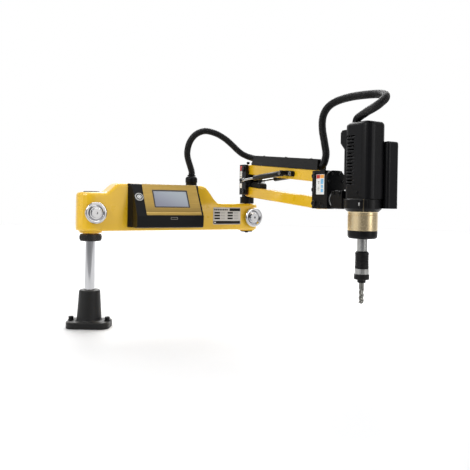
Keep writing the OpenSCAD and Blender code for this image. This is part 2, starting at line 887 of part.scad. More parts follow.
module control_bezel() {
    color("black") difference() {
        at_arm() bezel_block();
        at_arm() bezel_cavity();
        at_panel() {
            up(panel_proud - panel_t) panel_outline(panel_w, panel_h, panel_t + cut);
            screen_place() up(-screen_t)
                rounded_plate(screen_w, screen_h, panel_r, screen_t + cut);
            button_place() up(-button_pocket)
                cylinder(d = button_ring_d, h = button_pocket + panel_t);
        }
    }
}
module panel_plate() {
    color("darkgoldenrod") at_panel() difference() {
        up(panel_proud - panel_t)
            panel_outline(panel_w - 2 * screen_play, panel_h - 2 * screen_play, panel_t);
        screen_place() up(-panel_t)
            rounded_plate(screen_w, screen_h, panel_r, 2 * panel_t + cut);
    }
}
module screen_frame() {
    color("dimgray") at_panel() screen_place() difference() {
        up(-screen_t)
            rounded_plate(screen_w - 2 * screen_play, screen_h - 2 * screen_play, panel_r,
                          screen_t + panel_proud);
        up(panel_proud - glass_sink - glass_t)
            rounded_plate(screen_w - 2 * screen_border, screen_h - 2 * screen_border, panel_r,
                          glass_t + glass_sink + cut);
    }
}
module screen_glass() {
    color("lavender") at_panel() screen_place()
        up(panel_proud - glass_sink - glass_t)
            rounded_plate(screen_w - 2 * screen_border - 2 * screen_play,
                          screen_h - 2 * screen_border - 2 * screen_play, panel_r, glass_t);
}
module button_ring() {
    color("silver") at_panel() button_place()
        up(button_ring_proud - button_ring_t)
            tube(button_ring_d - 2 * fit_gap, button_d + 2 * button_gap, button_ring_t);
}
module power_button() {
    color("whitesmoke") at_panel() button_place()
        up(button_proud - button_h) turned_disc(button_d, button_h, chamfer / 2);
}
module box_gland() {
    low_r = 3 * chamfer;
    top_r = gland_nut_d / 4;
    color("black") at_arm() translate([gland_x, 0, hump_z - gland_sink]) rotate_extrude()
        polygon(concat(
            [[hose_bore / 2, 0], [gland_d / 2 - fit_gap, 0], [gland_d / 2 - fit_gap, gland_base_h]],
            arc(gland_nut_d / 2 - low_r, gland_base_h + low_r, low_r, 270, 360),
            arc(gland_nut_d / 2 - top_r, gland_base_h + gland_nut_h - top_r, top_r, 0, 90),
            [[gland_neck_d / 2, gland_base_h + gland_nut_h], [gland_neck_d / 2, gland_h],
             [hose_bore / 2, gland_h]]
        ));
}

// Elbow
module elbow_bearings() {
    color("silver") at_arm()
        for (z = [beam_z - bearing_sink - bearing_t, casing_z - elbow_boss_h + bearing_sink])
            translate([arm_reach, 0, z])
                ball_bearing(bearing_d, elbow_shaft_d + 2 * run_gap, bearing_t);
}
module elbow_shaft() {
    color("silver") at_elbow() up(elbow_shaft_z0) difference() {
        turned_disc(elbow_shaft_d, hub_disc_top - elbow_shaft_z0 - elbow_gap, chamfer / 2);
        up(-cut)
            cylinder(d = retainer_screw_d + 2 * fit_gap, h = 3 * retainer_screw_d);
    }
}
module elbow_retainer() {
    color("black") at_elbow() up(elbow_shaft_z0 - retainer_t) difference() {
        turned_disc(retainer_d, retainer_t, chamfer / 2);
        up(-cut)
            cylinder(d = retainer_screw_d + 2 * fit_gap, h = retainer_t + 2 * cut);
    }
}
module elbow_retainer_screw() {
    color("dimgray") at_elbow() up(elbow_shaft_z0 - retainer_t) mirror([0, 0, 1])
        socket_screw(retainer_screw_d, retainer_t + 2 * retainer_screw_d, retainer_screw_d / 2);
}

// Yoke: hub disc, rear web with a rib, and two cheeks
module cheek_outline() {
    w = yoke_front - yoke_corner_r;
    translate([0, cheek_z0]) square([w, cheek_z1 - cheek_z0]);
    translate([0, cheek_z0 + yoke_corner_r])
        square([yoke_front, cheek_z1 - cheek_z0 - 2 * yoke_corner_r]);
    for (z = [cheek_z0 + yoke_corner_r, cheek_z1 - yoke_corner_r])
        translate([w, z]) circle(yoke_corner_r);
}
module yoke() {
    color("#1c1c1e") at_elbow() difference() {
        union() {
            up(hub_disc_z0) cylinder(d = hub_disc_d, h = hub_disc_top - hub_disc_z0);
            for (y = [-yoke_half, cheek_gap])
                translate([0, y + cheek_t, 0]) rotate([90, 0, 0])
                    linear_extrude(cheek_t) cheek_outline();
            translate([0, -yoke_half, cheek_z0])
                cube([yoke_web_t, yoke_w, cheek_z1 - cheek_z0]);
            translate([0, -hub_disc_d / 2 + yoke_web_t, hub_disc_top - cut])
                cube([yoke_web_t, hub_disc_d - 2 * yoke_web_t, cheek_z0 - hub_disc_top + 2 * cut]);
            translate([0, yoke_rib_t / 2, 0]) rotate([90, 0, 0]) linear_extrude(yoke_rib_t)
                polygon([[cut, hub_disc_top - cut], [-yoke_rib_l, hub_disc_top - cut],
                         [-yoke_rib_l, hub_disc_top + yoke_rib_l],
                         [0, hub_disc_top + yoke_rib_h], [cut, hub_disc_top + yoke_rib_h]]);
        }
        up(hub_disc_z0 - cut)
            cylinder(d = elbow_shaft_d + 2 * fit_gap, h = hub_disc_top - elbow_gap - hub_disc_z0 + cut);
        for (z = [lower_pivot_z, upper_pivot_z])
            translate([yoke_pivot_x, -yoke_w, z]) along_y()
                cylinder(d = pivot_d + 2 * fit_gap, h = 2 * yoke_w);
        for (y = [-1, 1])
            translate([spring_foot_x, y * yoke_half, spring_foot_z]) rotate([90, 0, 0])
                cylinder(d = stud_d + 2 * fit_gap, h = cheek_t, center = true);
    }
}
module pivot_bolt(over) {
    translate([0, -over / 2 - pin_head_t, 0]) along_y()
        turned_disc(pin_head_d, pin_head_t, chamfer);
    translate([0, over / 2, 0]) along_y() turned_disc(pin_head_d, pin_head_t, chamfer);
    translate([0, -over / 2 - cut, 0]) along_y() cylinder(d = pivot_d, h = over + 2 * cut);
}
module yoke_pins() {
    color("dimgray") at_elbow() for (z = [lower_pivot_z, upper_pivot_z])
        translate([yoke_pivot_x, 0, z]) pivot_bolt(yoke_w);
}
module yoke_spring_studs() {
    color("silver") at_elbow() for (y = [-1, 1])
        translate([spring_foot_x, y * yoke_half, spring_foot_z]) rotate([y * -90, 0, 0]) {
            up(-cheek_t / 2)
                cylinder(d = stud_d, h = cheek_t / 2 + spring_y - yoke_half + foot_eye_t / 2 + seat_gap);
            up(spring_y - yoke_half + foot_eye_t / 2 + seat_gap)
                turned_disc(stud_head_d, stud_head_t, chamfer / 2);
        }
}
module yoke_knob() {
    color("black") at_elbow() translate([yoke_web_t / 2, 0, cheek_z1]) {
        cylinder(d = yoke_knob_neck_d, h = yoke_knob_neck_h + cut);
        up(yoke_knob_neck_h)
            turned_disc(yoke_knob_d, yoke_knob_h - yoke_knob_neck_h, chamfer);
    }
}

// Links: bars with round ends and bevelled edges
module link_bar() {
    difference() {
        intersection() {
            translate([0, link_w / 2, 0]) rotate([90, 0, 0]) linear_extrude(link_w) {
                translate([0, -link_h / 2]) square([link_len, link_h]);
                for (x = [0, link_len]) translate([x, 0]) circle(link_h / 2);
            }
            translate([-link_h, 0, 0]) rotate([90, 0, 90]) linear_extrude(link_len + 2 * link_h)
                polygon([
                    [link_edge - link_w / 2, -link_h / 2], [link_w / 2 - link_edge, -link_h / 2],
                    [link_w / 2, link_edge - link_h / 2], [link_w / 2, link_h / 2 - link_edge],
                    [link_w / 2 - link_edge, link_h / 2], [link_edge - link_w / 2, link_h / 2],
                    [-link_w / 2, link_h / 2 - link_edge], [-link_w / 2, link_edge - link_h / 2]
                ]);
        }
        for (x = [0, link_len])
            translate([x, -link_w, 0]) along_y()
                cylinder(d = pivot_d + 2 * link_bush_wall, h = 2 * link_w);
    }
}
module link_bushes() {
    flange_t = cheek_gap - link_w / 2 - bush_flange_gap;
    for (x = [0, link_len], y = [-1, 1])
        translate([x, y * link_w / 2, 0]) rotate([y * -90, 0, 0]) difference() {
            union() {
                cylinder(d = bush_flange_d, h = flange_t);
                up(seat_gap - link_w / 2)
                    cylinder(d = pivot_d + 2 * link_bush_wall - 2 * fit_gap, h = link_w / 2);
            }
            up(-link_w)
                cylinder(d = pivot_d + 2 * run_gap, h = 2 * link_w);
        }
}
module upper_link() {
    color("gold") at_upper() link_bar();
}
module upper_link_bushes() {
    color("peru") at_upper() link_bushes();
}
module lower_link() {
    color("gold") at_lower() link_bar();
}
module lower_link_bushes() {
    color("peru") at_lower() link_bushes();
}
module bump_stop() {
    color("black") at_lower() translate([stop_x0, stop_w / 2, link_h / 2]) rotate([90, 0, 0])
        linear_extrude(stop_w)
            polygon([[0, 0], [stop_l, 0], [stop_l, stop_h - stop_slope],
                     [stop_l - stop_slope, stop_h], [stop_slope, stop_h], [0, stop_h - stop_slope]]);
}
module cable_duct() {
    color("#2b2b30") at_upper() up(link_h / 2) difference() {
        translate([0, duct_w / 2, 0]) rotate([90, 0, 0]) linear_extrude(duct_w)
            polygon([[duct_x0, 0], [duct_x1, 0], [duct_x1, duct_h - duct_edge],
                     [duct_x1 - duct_edge, duct_h],
                     [duct_x0 + duct_slant, duct_h]]);
        translate([0, duct_w / 2 - duct_wall, 0]) rotate([90, 0, 0])
            linear_extrude(duct_w - 2 * duct_wall)
                polygon([[duct_x0 + 2 * duct_wall, -cut], [duct_x1 - duct_wall, -cut],
                         [duct_x1 - duct_wall, duct_h - duct_wall],
                         [duct_x0 + duct_slant + duct_wall, duct_h - duct_wall],
                         [duct_x0 + 2 * duct_wall, duct_wall]]);
        translate([duct_x0 + duct_in_share * duct_slant, 0, duct_in_share * duct_h])
            rotate([0, duct_in_lean - 90, 0])
                cylinder(d = hose_d + 2 * seat_gap, h = 10 * duct_wall, center = true);
        translate([duct_x1, 0, duct_out_share * duct_h]) rotate([0, 90 - duct_out_lean, 0])
            up(-2 * duct_wall) cylinder(d = hose_d + 2 * seat_gap, h = duct_h);
    }
}

// Gas springs
spring_head = [yoke_pivot_x + spring_head_x * cos(link_pitch),
               upper_pivot_z - spring_head_x * sin(link_pitch)];
spring_run = spring_head - [spring_foot_x, spring_foot_z];
spring_len = norm(spring_run);
spring_angle = atan2(spring_run.y, spring_run.x) + spring_aim;
module at_spring(side)
    at_elbow() translate([spring_foot_x, side * spring_y, spring_foot_z])
        rotate([0, -spring_angle, 0]) children();
module gas_rod(side) {
    at_spring(side) {
        difference() {
            union() {
                rotate([90, 0, 0]) cylinder(d = foot_eye_d, h = foot_eye_t, center = true);
                along_x() cylinder(d = gas_neck_d, h = gas_neck_l);
            }
            rotate([90, 0, 0]) cylinder(d = stud_d + 2 * run_gap, h = 2 * foot_eye_t, center = true);
        }
        translate([gas_neck_l - cut, 0, 0]) along_x()
            cylinder(d = gas_rod_d, h = spring_len - gas_cylinder_len / 2);
    }
}
module gas_cylinder(side) {
    x1 = spring_len - head_eye_d / 2 + chamfer;
    at_spring(side) difference() {
        union() {
            translate([x1 - gas_cylinder_len, 0, 0]) along_x() rotate_extrude()
                polygon([[0, 0], [gas_d / 2 - chamfer * 2, 0], [gas_d / 2, gas_nose_l],
                         [gas_d / 2, gas_cylinder_len - gas_cap_l],
                         [gas_d / 3, gas_cylinder_len], [0, gas_cylinder_len]]);
            translate([spring_len, 0, 0]) rotate([90, 0, 0])
                cylinder(d = head_eye_d, h = head_eye_t, center = true);
        }
        translate([spring_len, 0, 0]) rotate([90, 0, 0])
            cylinder(d = stud_d + 2 * head_eye_play, h = 2 * head_eye_t, center = true);
        translate([x1 - gas_cylinder_len - cut, 0, 0]) along_x()
            cylinder(d = gas_rod_d + 2 * run_gap, h = gas_cylinder_len - gas_cap_l);
    }
}
module front_gas_rod() {
    color("silver") gas_rod(-1);
}
module rear_gas_rod() {
    color("silver") gas_rod(1);
}
module front_gas_cylinder() {
    color("#202022") gas_cylinder(-1);
}
module rear_gas_cylinder() {
    color("#202022") gas_cylinder(1);
}
// Brackets on the upper link
module spring_brackets() {
    stud_l = spring_y - link_w / 2 - bracket_t + head_eye_t / 2 + seat_gap;
    color("#26262a") at_upper() for (y = [-1, 1])
        translate([spring_head_x, y * link_w / 2, 0]) rotate([y * -90, 0, 0]) {
            translate([bracket_l / 2 - bracket_x, 0, 0])
                rounded_plate(bracket_l, bracket_h, bracket_h / 2.5, bracket_t);
            up(bracket_t - cut)
                cylinder(d = 2 * stud_d, h = cut + stud_l - 2 * seat_gap - head_eye_t);
            up(bracket_t - cut) cylinder(d = stud_d, h = stud_l + 2 * cut);
            up(bracket_t + stud_l)
                turned_disc(stud_head_d + head_eye_play, stud_head_t, chamfer);
            translate([bracket_l / 2, 0, bracket_t - cut])
                turned_disc(2 * bracket_screw_d, bracket_screw_d + cut, chamfer);
        }
}

// End block, a clevis for the links
module end_block() {
    z0 = -block_over;
    h = link_spacing + 2 * block_over;
    color("#1c1c1e") at_end() difference() {
        translate([0, yoke_half, 0]) rotate([90, 0, 0]) linear_extrude(yoke_w) {
            translate([block_x0 + block_edge, z0])
                square([block_x1 - block_x0 - block_edge, h]);
            translate([block_x0, z0 + block_edge])
                square([block_x1 - block_x0, h - 2 * block_edge]);
            for (z = [z0 + block_edge, z0 + h - block_edge])
                translate([block_x0 + block_edge, z]) circle(block_edge);
        }
        translate([block_x0 - cut, -cheek_gap, z0 - cut])
            cube([block_cheek_l + cut, 2 * cheek_gap, h + 2 * cut]);
        for (z = [0, block_bolt_z, link_spacing])
            translate([0, -yoke_w, z]) along_y()
                cylinder(d = pivot_d + 2 * fit_gap, h = 2 * yoke_w);
    }
}
module end_pins() {
    color("dimgray") at_end() for (z = [0, block_bolt_z, link_spacing])
        up(z) pivot_bolt(yoke_w);
}

// Swivel between the end block and the head
module swivel_plate() {
    h = link_spacing + 2 * block_over;
    color("#151517") at_end() translate([block_x1, 0, -block_over]) difference() {
        rotate([90, 0, 90]) linear_extrude(swivel_plate_t) {
            translate([-yoke_half, 0]) square([yoke_w, h - swivel_plate_r]);
            translate([swivel_plate_r - yoke_half, 0]) square([yoke_w - 2 * swivel_plate_r, h]);
            for (y = [-1, 1])
                translate([y * (yoke_half - swivel_plate_r), h - swivel_plate_r])
                    circle(swivel_plate_r);
        }
        translate([-cut, 0, tilt_z - end_low_z + block_over]) along_x()
            cylinder(d = swivel_shaft_d + 2 * fit_gap, h = swivel_plate_t + 2 * cut);
    }
}
module swivel_shaft() {
    color("silver") at_elbow() translate([swivel_x, 0, tilt_z]) along_x() {
        cylinder(d = swivel_shaft_d, h = swivel_plate_t + cut);
        up(swivel_plate_t) turned_disc(swivel_disc_d, swivel_disc_t, chamfer);
        up(swivel_plate_t + swivel_disc_t - cut)
            cylinder(d = swivel_shaft_d, h = hub_neck_l + hub_l - hub_floor + cut);
    }
}
module swivel_hub() {
    color("#2a2a2c") at_elbow() translate([hub_x0, 0, tilt_z]) difference() {
        union() {
            rotate([90, 0, 90])
                rounded_plate(swivel_hub_w, swivel_hub_h, hub_edge, hub_l);
            translate([-hub_neck_l, 0, 0]) along_x() cylinder(d = hub_neck_d, h = hub_neck_l + cut);
        }
        translate([-hub_neck_l - cut, 0, 0]) along_x()
            cylinder(d = swivel_shaft_d + 2 * run_gap, h = hub_neck_l + cut + hub_l - hub_floor);
        translate([-hub_neck_l - cut, -hub_slit / 2, 0]) cube([hub_l, hub_slit, swivel_hub_h]);
        for (x = [hub_l / 2 - hub_screw_side, hub_l / 2 + hub_screw_side])
            translate([x, -swivel_hub_w / 2, hub_screw_up]) along_y() {
                up(-cut) cylinder(d = hub_screw_d + 2 * fit_gap,
                                                 h = swivel_hub_w * head_width_share);
                up(-cut) cylinder(d = 2 * hub_screw_d, h = hub_screw_d / 2 + cut);
            }
    }
}
module hub_clamp_screws() {
    color("silver") at_elbow() for (x = [hub_l / 2 - hub_screw_side, hub_l / 2 + hub_screw_side])
        translate([hub_x0 + x, hub_screw_d / 2 - swivel_hub_w / 2, tilt_z + hub_screw_up])
            rotate([90, 0, 0]) socket_screw(hub_screw_d, swivel_hub_w / 2, hub_screw_d);
}
module motor_clamp() {
    tail_x = hub_x0 + hub_l + seat_gap - head_reach;
    low = clamp_low + clamp_edge;
    color("black") at_head() up(clamp_z0) difference() {
        union() {
            rotate_extrude()
                polygon([[0, 0], [clamp_d / 2 - clamp_low, 0], [clamp_d / 2, clamp_low],
                         [clamp_d / 2, clamp_h - clamp_edge],
                         [clamp_d / 2 - clamp_edge, clamp_h], [0, clamp_h]]);
            translate([tail_x, -clamp_arm_w / 2, low])
                cube([-tail_x, clamp_arm_w, clamp_h - low]);
            rotate([0, 0, clamp_lug_turn]) translate([0, -clamp_lug_w / 2, low])
                cube([clamp_d / 2 + clamp_lug_l, clamp_lug_w, clamp_h - low - 2 * clamp_edge]);
        }
        up(-cut) cylinder(d = clamp_bore_d, h = clamp_h + 2 * cut);
        rotate([0, 0, clamp_lug_turn]) translate([0, -clamp_slit / 2, -cut])
            cube([clamp_d, clamp_slit, clamp_h + 2 * cut]);
    }
}
module servo_motor() {
    color("#18181a") at_head() up(clamp_top) {
        rounded_plate(motor_flange_w, motor_flange_w, motor_r, motor_flange_t);
        up(motor_flange_t - cut)
            rounded_plate(motor_w, motor_w, motor_r, motor_h + cut);
        up(motor_flange_t + motor_h - cut)
            rounded_plate(encoder_w, encoder_w, motor_r, encoder_h + cut);
    }
}

// Shroud, a moulded cover
module shroud_core(w, d, r, h, edge) {
    hull($fn = hull_fn) for (x = [-1, 1], y = [-1, 1])
        translate([x * (w / 2 - r), y * (d / 2 - r), 0]) rotate_extrude($fn = hull_fn)
            polygon(concat([[0, 0], [r, 0]], arc(r - edge, h - edge, edge, 0, 90), [[0, h]]));
}
module channel_block(grow) {
    x = -shroud_l / 2;
    translate([0, channel_w / 2 - grow, 0]) rotate([90, 0, 0])
        linear_extrude(channel_w - 2 * grow)
            polygon([
                [x + channel_out, channel_low + grow], [x - channel_step + grow, channel_low + grow],
                [x - channel_step + grow, channel_top - channel_bulge - channel_taper],
                [x - channel_out + grow, channel_top - channel_bulge],
                [x - channel_out + grow, channel_top - channel_edge],
                [x - channel_out + channel_edge, channel_top - grow],
                [x + channel_out, channel_top - grow]
            ]);
}
module motor_shroud() {
    color("#222224") at_head() up(clamp_top + thrust_gap) difference() {
        union() {
            translate([0, shroud_shift, 0])
                shroud_core(shroud_l, shroud_w, shroud_r, shroud_h, shroud_edge_r);
            channel_block(0);
        }
        translate([0, shroud_shift, -cut])
            shroud_core(shroud_l - 2 * shroud_wall, shroud_w - 2 * shroud_wall,
                        shroud_r - shroud_wall, shroud_h - shroud_wall + cut,
                        shroud_edge_r - shroud_wall);
        channel_block(shroud_wall);
        for (i = [0:vent_count - 1])
            translate([vent_x0, shroud_shift - shroud_w, vent_z0 + i * vent_pitch])
                cube([vent_l, shroud_w / 2 + shroud_wall + cut, vent_h]);
        translate([head_gland_x, head_gland_y, shroud_h - 2 * shroud_wall])
            cylinder(d = hose_bore, h = shroud_h);
    }
}
module shroud_side_box() {
    color("#222224") at_head() up(clamp_top + side_z0) difference() {
        translate([(side_x0 + side_x1) / 2, (side_y0 + side_y1) / 2, 0])
            shroud_core(side_x1 - side_x0, side_y1 - side_y0, side_r, side_h, side_edge);
        translate([(side_x0 + side_x1) / 2, (side_y0 + side_y1) / 2, side_wall])
            rounded_plate(side_x1 - side_x0 - 2 * side_wall, side_y1 - side_y0 - 2 * side_wall,
                          side_r - side_wall, side_h - 2 * side_wall);
        translate([0, shroud_shift, -cut])
            rounded_plate(shroud_l + 2 * seat_gap, shroud_w + 2 * seat_gap,
                          shroud_r + seat_gap, side_h + 2 * cut);
        up(-side_z0 - side_h - cut)
            cylinder(d = clamp_d + 2 * seat_gap, h = side_h + cut + seat_gap);
    }
}
module head_gland() {
    color("black") at_head()
        translate([head_gland_x, head_gland_y, clamp_top + thrust_gap + shroud_h]) {
            difference() {
                cylinder(d = head_gland_d, h = head_gland_h, $fn = 6);
                up(-cut)
                    cylinder(d = hose_bore, h = head_gland_h + 2 * cut);
            }
            // The bent neck
            translate([head_gland_bend, 0, head_gland_h + seat_gap]) rotate([90, 0, 180])
                rotate_extrude(angle = head_gland_lean)
                    translate([head_gland_bend, 0]) difference() {
                        circle(d = hose_d);
                        circle(d = hose_bore);
                    }
        }
}

// Gearbox, spindle and chuck, from the clamp down
gearbox_top = clamp_z0 - gear_cone_h;
gearbox_z0 = gearbox_top - gearbox_h;
cap_z0 = gearbox_z0 - cap_h;
spindle_z0 = cap_z0 - spindle_show;
sleeve_z0 = spindle_z0 - sleeve_h;
ring_z0 = sleeve_z0 - chuck_ring_h;
collet_z0 = ring_z0 - collet_ring_h;
nose_z0 = collet_z0 - collet_nose_h;
module gearbox() {
    r = gearbox_d / 2;
    spigot = clamp_bore_d / 2 - gearbox_spigot_gap;
    color("wheat") at_head() difference() {
        rotate_extrude()
            polygon([
                [0, gearbox_z0], [r, gearbox_z0], [r, gearbox_top - gear_groove_z],
                [r - gear_groove, gearbox_top - gear_groove_z + gear_groove],
                [r, gearbox_top - gear_groove_z + 2 * gear_groove], [r, gearbox_top - chamfer],
                [r + gear_cone_h - seat_gap, clamp_z0 - seat_gap],
                [spigot, clamp_z0 - seat_gap], [spigot, clamp_top], [0, clamp_top]
            ]);
        up(gearbox_z0 - cut)
            cylinder(d = spindle_bore_d, h = clamp_top - gearbox_z0 - spindle_top_gap);
        for (z = [gearbox_z0 - cut, clamp_z0 - spindle_bearing_t])
            up(z) cylinder(d = spindle_bearing_d, h = spindle_bearing_t + cut);
    }
}
module gearbox_cap() {
    r = gearbox_d / 2;
    color("black") at_head() difference() {
        rotate_extrude()
            polygon(concat(
                [[0, gearbox_z0]], [[0, cap_z0]],
                arc(r - cap_r, cap_z0 + cap_r, cap_r, 270, 360), [[r, gearbox_z0]]
            ));
        up(cap_z0 - cut)
            cylinder(d = spindle_d + 4 * seat_gap, h = cap_h + 2 * cut);
    }
}
module spindle_bearings() {
    color("silver") at_head() for (z = [gearbox_z0, clamp_z0 - spindle_bearing_t + cut])
        up(z)
            ball_bearing(spindle_bearing_d - 2 * fit_gap, spindle_d + 2 * run_gap,
                         spindle_bearing_t - cut);
}
module spindle() {
    color("silver") at_head() up(spindle_z0)
        turned_disc(spindle_d, clamp_z0 + spindle_top_gap / 2 - spindle_z0, chamfer / 2);
}
module chuck_body() {
    color("silver") at_head() difference() {
        union() {
            up(ring_z0) turned_disc(chuck_ring_d, chuck_ring_h - sleeve_gap, chamfer / 2);
            up(ring_z0 + cut)
                cylinder(d = chuck_core_d, h = spindle_z0 - ring_z0 - cut);
        }
        up(ring_z0 - cut)
            cylinder(d = collet_shank_d + 2 * fit_gap, h = collet_shank_l + 2 * cut);
    }
}
module lock_sleeve() {
    pitch = (sleeve_h - 2 * sleeve_lead) / rib_count;
    r = sleeve_d / 2;
    color("black") at_head() up(sleeve_z0) rotate_extrude()
        polygon(concat(
            [[chuck_core_d / 2 + run_gap, 0], [r - chamfer, 0], [r, chamfer], [r, sleeve_lead]],
            [for (i = [0:rib_count - 1]) each [
                [r - rib_depth, sleeve_lead + i * pitch + rib_depth],
                [r - rib_depth, sleeve_lead + (i + 1) * pitch - 2 * rib_depth],
                [r, sleeve_lead + (i + 1) * pitch - rib_depth], [r, sleeve_lead + (i + 1) * pitch]
            ]],
            [[r, sleeve_h - sleeve_lead / 2], [r - sleeve_lead / 2, sleeve_h],
             [chuck_core_d / 2 + run_gap, sleeve_h]]
        ));
}
module tap_collet() {
    color("#303034") at_head() difference() {
        union() {
            up(collet_z0) turned_disc(collet_ring_d, collet_ring_h - sleeve_gap, chamfer);
            up(nose_z0) turned_disc(collet_nose_d, collet_nose_h + cut, chamfer / 2);
            up(collet_z0 + cut)
                cylinder(d = collet_shank_d, h = collet_ring_h + collet_shank_l - cut);
        }
        up(nose_z0 - cut)
            cylinder(d = tap_d + 2 * fit_gap, h = tap_sink + cut);
    }
}
// Cross section of the tap
function tap_section(r) = [
    for (i = [0:flute_count - 1], k = [0:arc_steps])
        let (
            a = 360 / flute_count * (i + k / (arc_steps + 1)),
            depth = smooth(1 - abs(k - arc_steps / 2) / (arc_steps / 2)) * (1 - tap_core_share)
        )
        r * (1 - depth) * [cos(a), sin(a)]
];
module tap() {
    core_d = tap_core_share * tap_d;
    tip_z = nose_z0 - tap_reach;
    color("silver") at_head() {
        up(tip_z + tap_flute_l) cylinder(d = tap_d, h = nose_z0 + tap_sink - tip_z - tap_flute_l);
        up(tip_z + tap_point_l)
            linear_extrude(tap_flute_l - tap_point_l + cut, twist = -360 * tap_turns,
                           slices = tap_slices, $fn = flute_count * (arc_steps + 1))
                polygon(tap_section(tap_d / 2 - fit_gap));
        up(tip_z) cylinder(d1 = chamfer, d2 = core_d * tap_tip_share, h = tap_point_l);
        up(tip_z + tap_point_l - fit_gap)
            cylinder(d = core_d * tap_tip_share, h = tap_point_l);
    }
}

// Hoses: ribbed tubes with a bore, swept along a smooth curve through the route's points
function spline(p, i, t) =
    let (
        a = p[max(0, i - 1)], b = p[i], c = p[i + 1], d = p[min(len(p) - 1, i + 2)]
    )
    0.5 * (2 * b + (c - a) * t + (2 * a - 5 * b + 4 * c - d) * t * t
           + (3 * b - 3 * c + d - a) * t * t * t);
function fine_line(p) = concat(
    [for (i = [0:len(p) - 2], k = [0:hose_fine - 1]) spline(p, i, k / hose_fine)],
    [p[len(p) - 1]]
);
function running_length(q) = [
    for (i = 0, s = 0; i < len(q); s = i + 1 < len(q) ? s + norm(q[i + 1] - q[i]) : s, i = i + 1) s
];
function at_length(q, s, want) = [
    for (axis = [0:2]) lookup(want, [for (i = [0:len(q) - 1]) [s[i], q[i][axis]]])
];
function carried(side, t) = unit(side - (side * t) * t);
module hose(route, ribs) {
    q = fine_line(route);
    s = running_length(q);
    total = s[len(s) - 1];
    n = 2 * ribs;
    c = [for (i = [0:n]) at_length(q, s, total * i / n)];
    t = [for (i = [0:n])
            i == 0 ? unit(route[1] - route[0])
            : i == n ? unit(route[len(route) - 1] - route[len(route) - 2])
            : unit(c[i + 1] - c[i - 1])];
    u = [for (i = 0, v = carried([0.3, 0.9, 0.1], t[0]); i <= n;
              i = i + 1, v = i <= n ? carried(v, t[i]) : v) v];
    outer = [for (i = [0:n], j = [0:hose_sides - 1])
                let (a = 360 * j / hose_sides, r = hose_d / 2 - (i % 2 == 0 ? hose_groove : 0))
                c[i] + r * (cos(a) * u[i] + sin(a) * cross(t[i], u[i]))];
    inner = [for (i = [0:4:n], j = [0:hose_sides - 1])
                let (a = 360 * j / hose_sides)
                c[i] + hose_bore / 2 * (cos(a) * u[i] + sin(a) * cross(t[i], u[i]))];
    m = n / 4;
    base = len(outer);
    polyhedron(
        points = concat(outer, inner),
        faces = concat(
            [for (i = [0:n - 1], j = [0:hose_sides - 1], f = [0, 1])
                let (k = (j + 1) % hose_sides, w = i * hose_sides, x = w + hose_sides)
                f == 0 ? [w + j, x + k, w + k] : [w + j, x + j, x + k]],
            [for (i = [0:m - 1], j = [0:hose_sides - 1], f = [0, 1])
                let (k = (j + 1) % hose_sides, w = base + i * hose_sides, x = w + hose_sides)
                f == 0 ? [w + j, w + k, x + k] : [w + j, x + k, x + j]],
            [for (j = [0:hose_sides - 1], f = [0, 1])
                let (k = (j + 1) % hose_sides)
                f == 0 ? [j, k, base + k] : [j, base + k, base + j]],
            [for (j = [0:hose_sides - 1], f = [0, 1])
                let (k = (j + 1) % hose_sides, w = n * hose_sides, x = base + m * hose_sides)
                f == 0 ? [w + j, x + k, w + k] : [w + j, x + j, x + k]]
        )
    );
    echo(hose_length = total);
}
gland_top = [gland_x, 0, hump_z - gland_sink + gland_h];
duct_in = [duct_x0 + duct_in_share * duct_slant, 0, link_h / 2 + duct_in_share * duct_h];
duct_in_way = [-cos(duct_in_lean), 0, sin(duct_in_lean)];
duct_out = [duct_x1, 0, link_h / 2 + duct_out_share * duct_h];
duct_out_way = [cos(duct_out_lean), 0, sin(duct_out_lean)];
head_gland_way = [sin(head_gland_lean), 0, cos(head_gland_lean)];
head_gland_mouth = [head_reach + head_gland_x, head_gland_y,
                    clamp_top + thrust_gap + shroud_h + head_gland_h + seat_gap]
                   + head_gland_bend * [1 - cos(head_gland_lean), 0, sin(head_gland_lean)];
module arm_hose() {
    color("#1d1d1f") hose(concat(
        [from_arm(gland_top), from_arm(gland_top + [0, 0, hose_lead])],
        [for (p = arm_route) from_arm(p)],
        [from_upper(duct_in + hose_lead * duct_in_way), from_upper(duct_in)]
    ), arm_ribs);
}
module head_hose() {
    color("#1d1d1f") hose(concat(
        [from_upper(duct_out), from_upper(duct_out + hose_lead * duct_out_way)],
        [for (p = head_route) from_elbow(p)],
        [from_elbow(head_gland_mouth + hose_lead * head_gland_way), from_elbow(head_gland_mouth)]
    ), head_ribs);
}

base_flange();
base_bolts();
column();
column_collar();
thrust_washer();
arm_casing();
column_bushes();
top_cap();
rear_cover();
power_inlet();
lock_pads();
column_lock_knob();
elbow_lock_knob();
control_bezel();
panel_plate();
screen_frame();
screen_glass();
button_ring();
power_button();
box_gland();
elbow_bearings();
elbow_shaft();
elbow_retainer();
elbow_retainer_screw();
yoke();
yoke_pins();
yoke_spring_studs();
yoke_knob();
upper_link();
upper_link_bushes();
cable_duct();
spring_brackets();
lower_link();
lower_link_bushes();
bump_stop();
front_gas_rod();
front_gas_cylinder();
rear_gas_rod();
rear_gas_cylinder();
end_block();
end_pins();
swivel_plate();
swivel_shaft();
swivel_hub();
hub_clamp_screws();
motor_clamp();
servo_motor();
motor_shroud();
shroud_side_box();
head_gland();
gearbox();
gearbox_cap();
spindle_bearings();
spindle();
chuck_body();
lock_sleeve();
tap_collet();
tap();
arm_hose();
head_hose();
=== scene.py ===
import json
import math

import bmesh
import bpy
from mathutils import Matrix, Vector


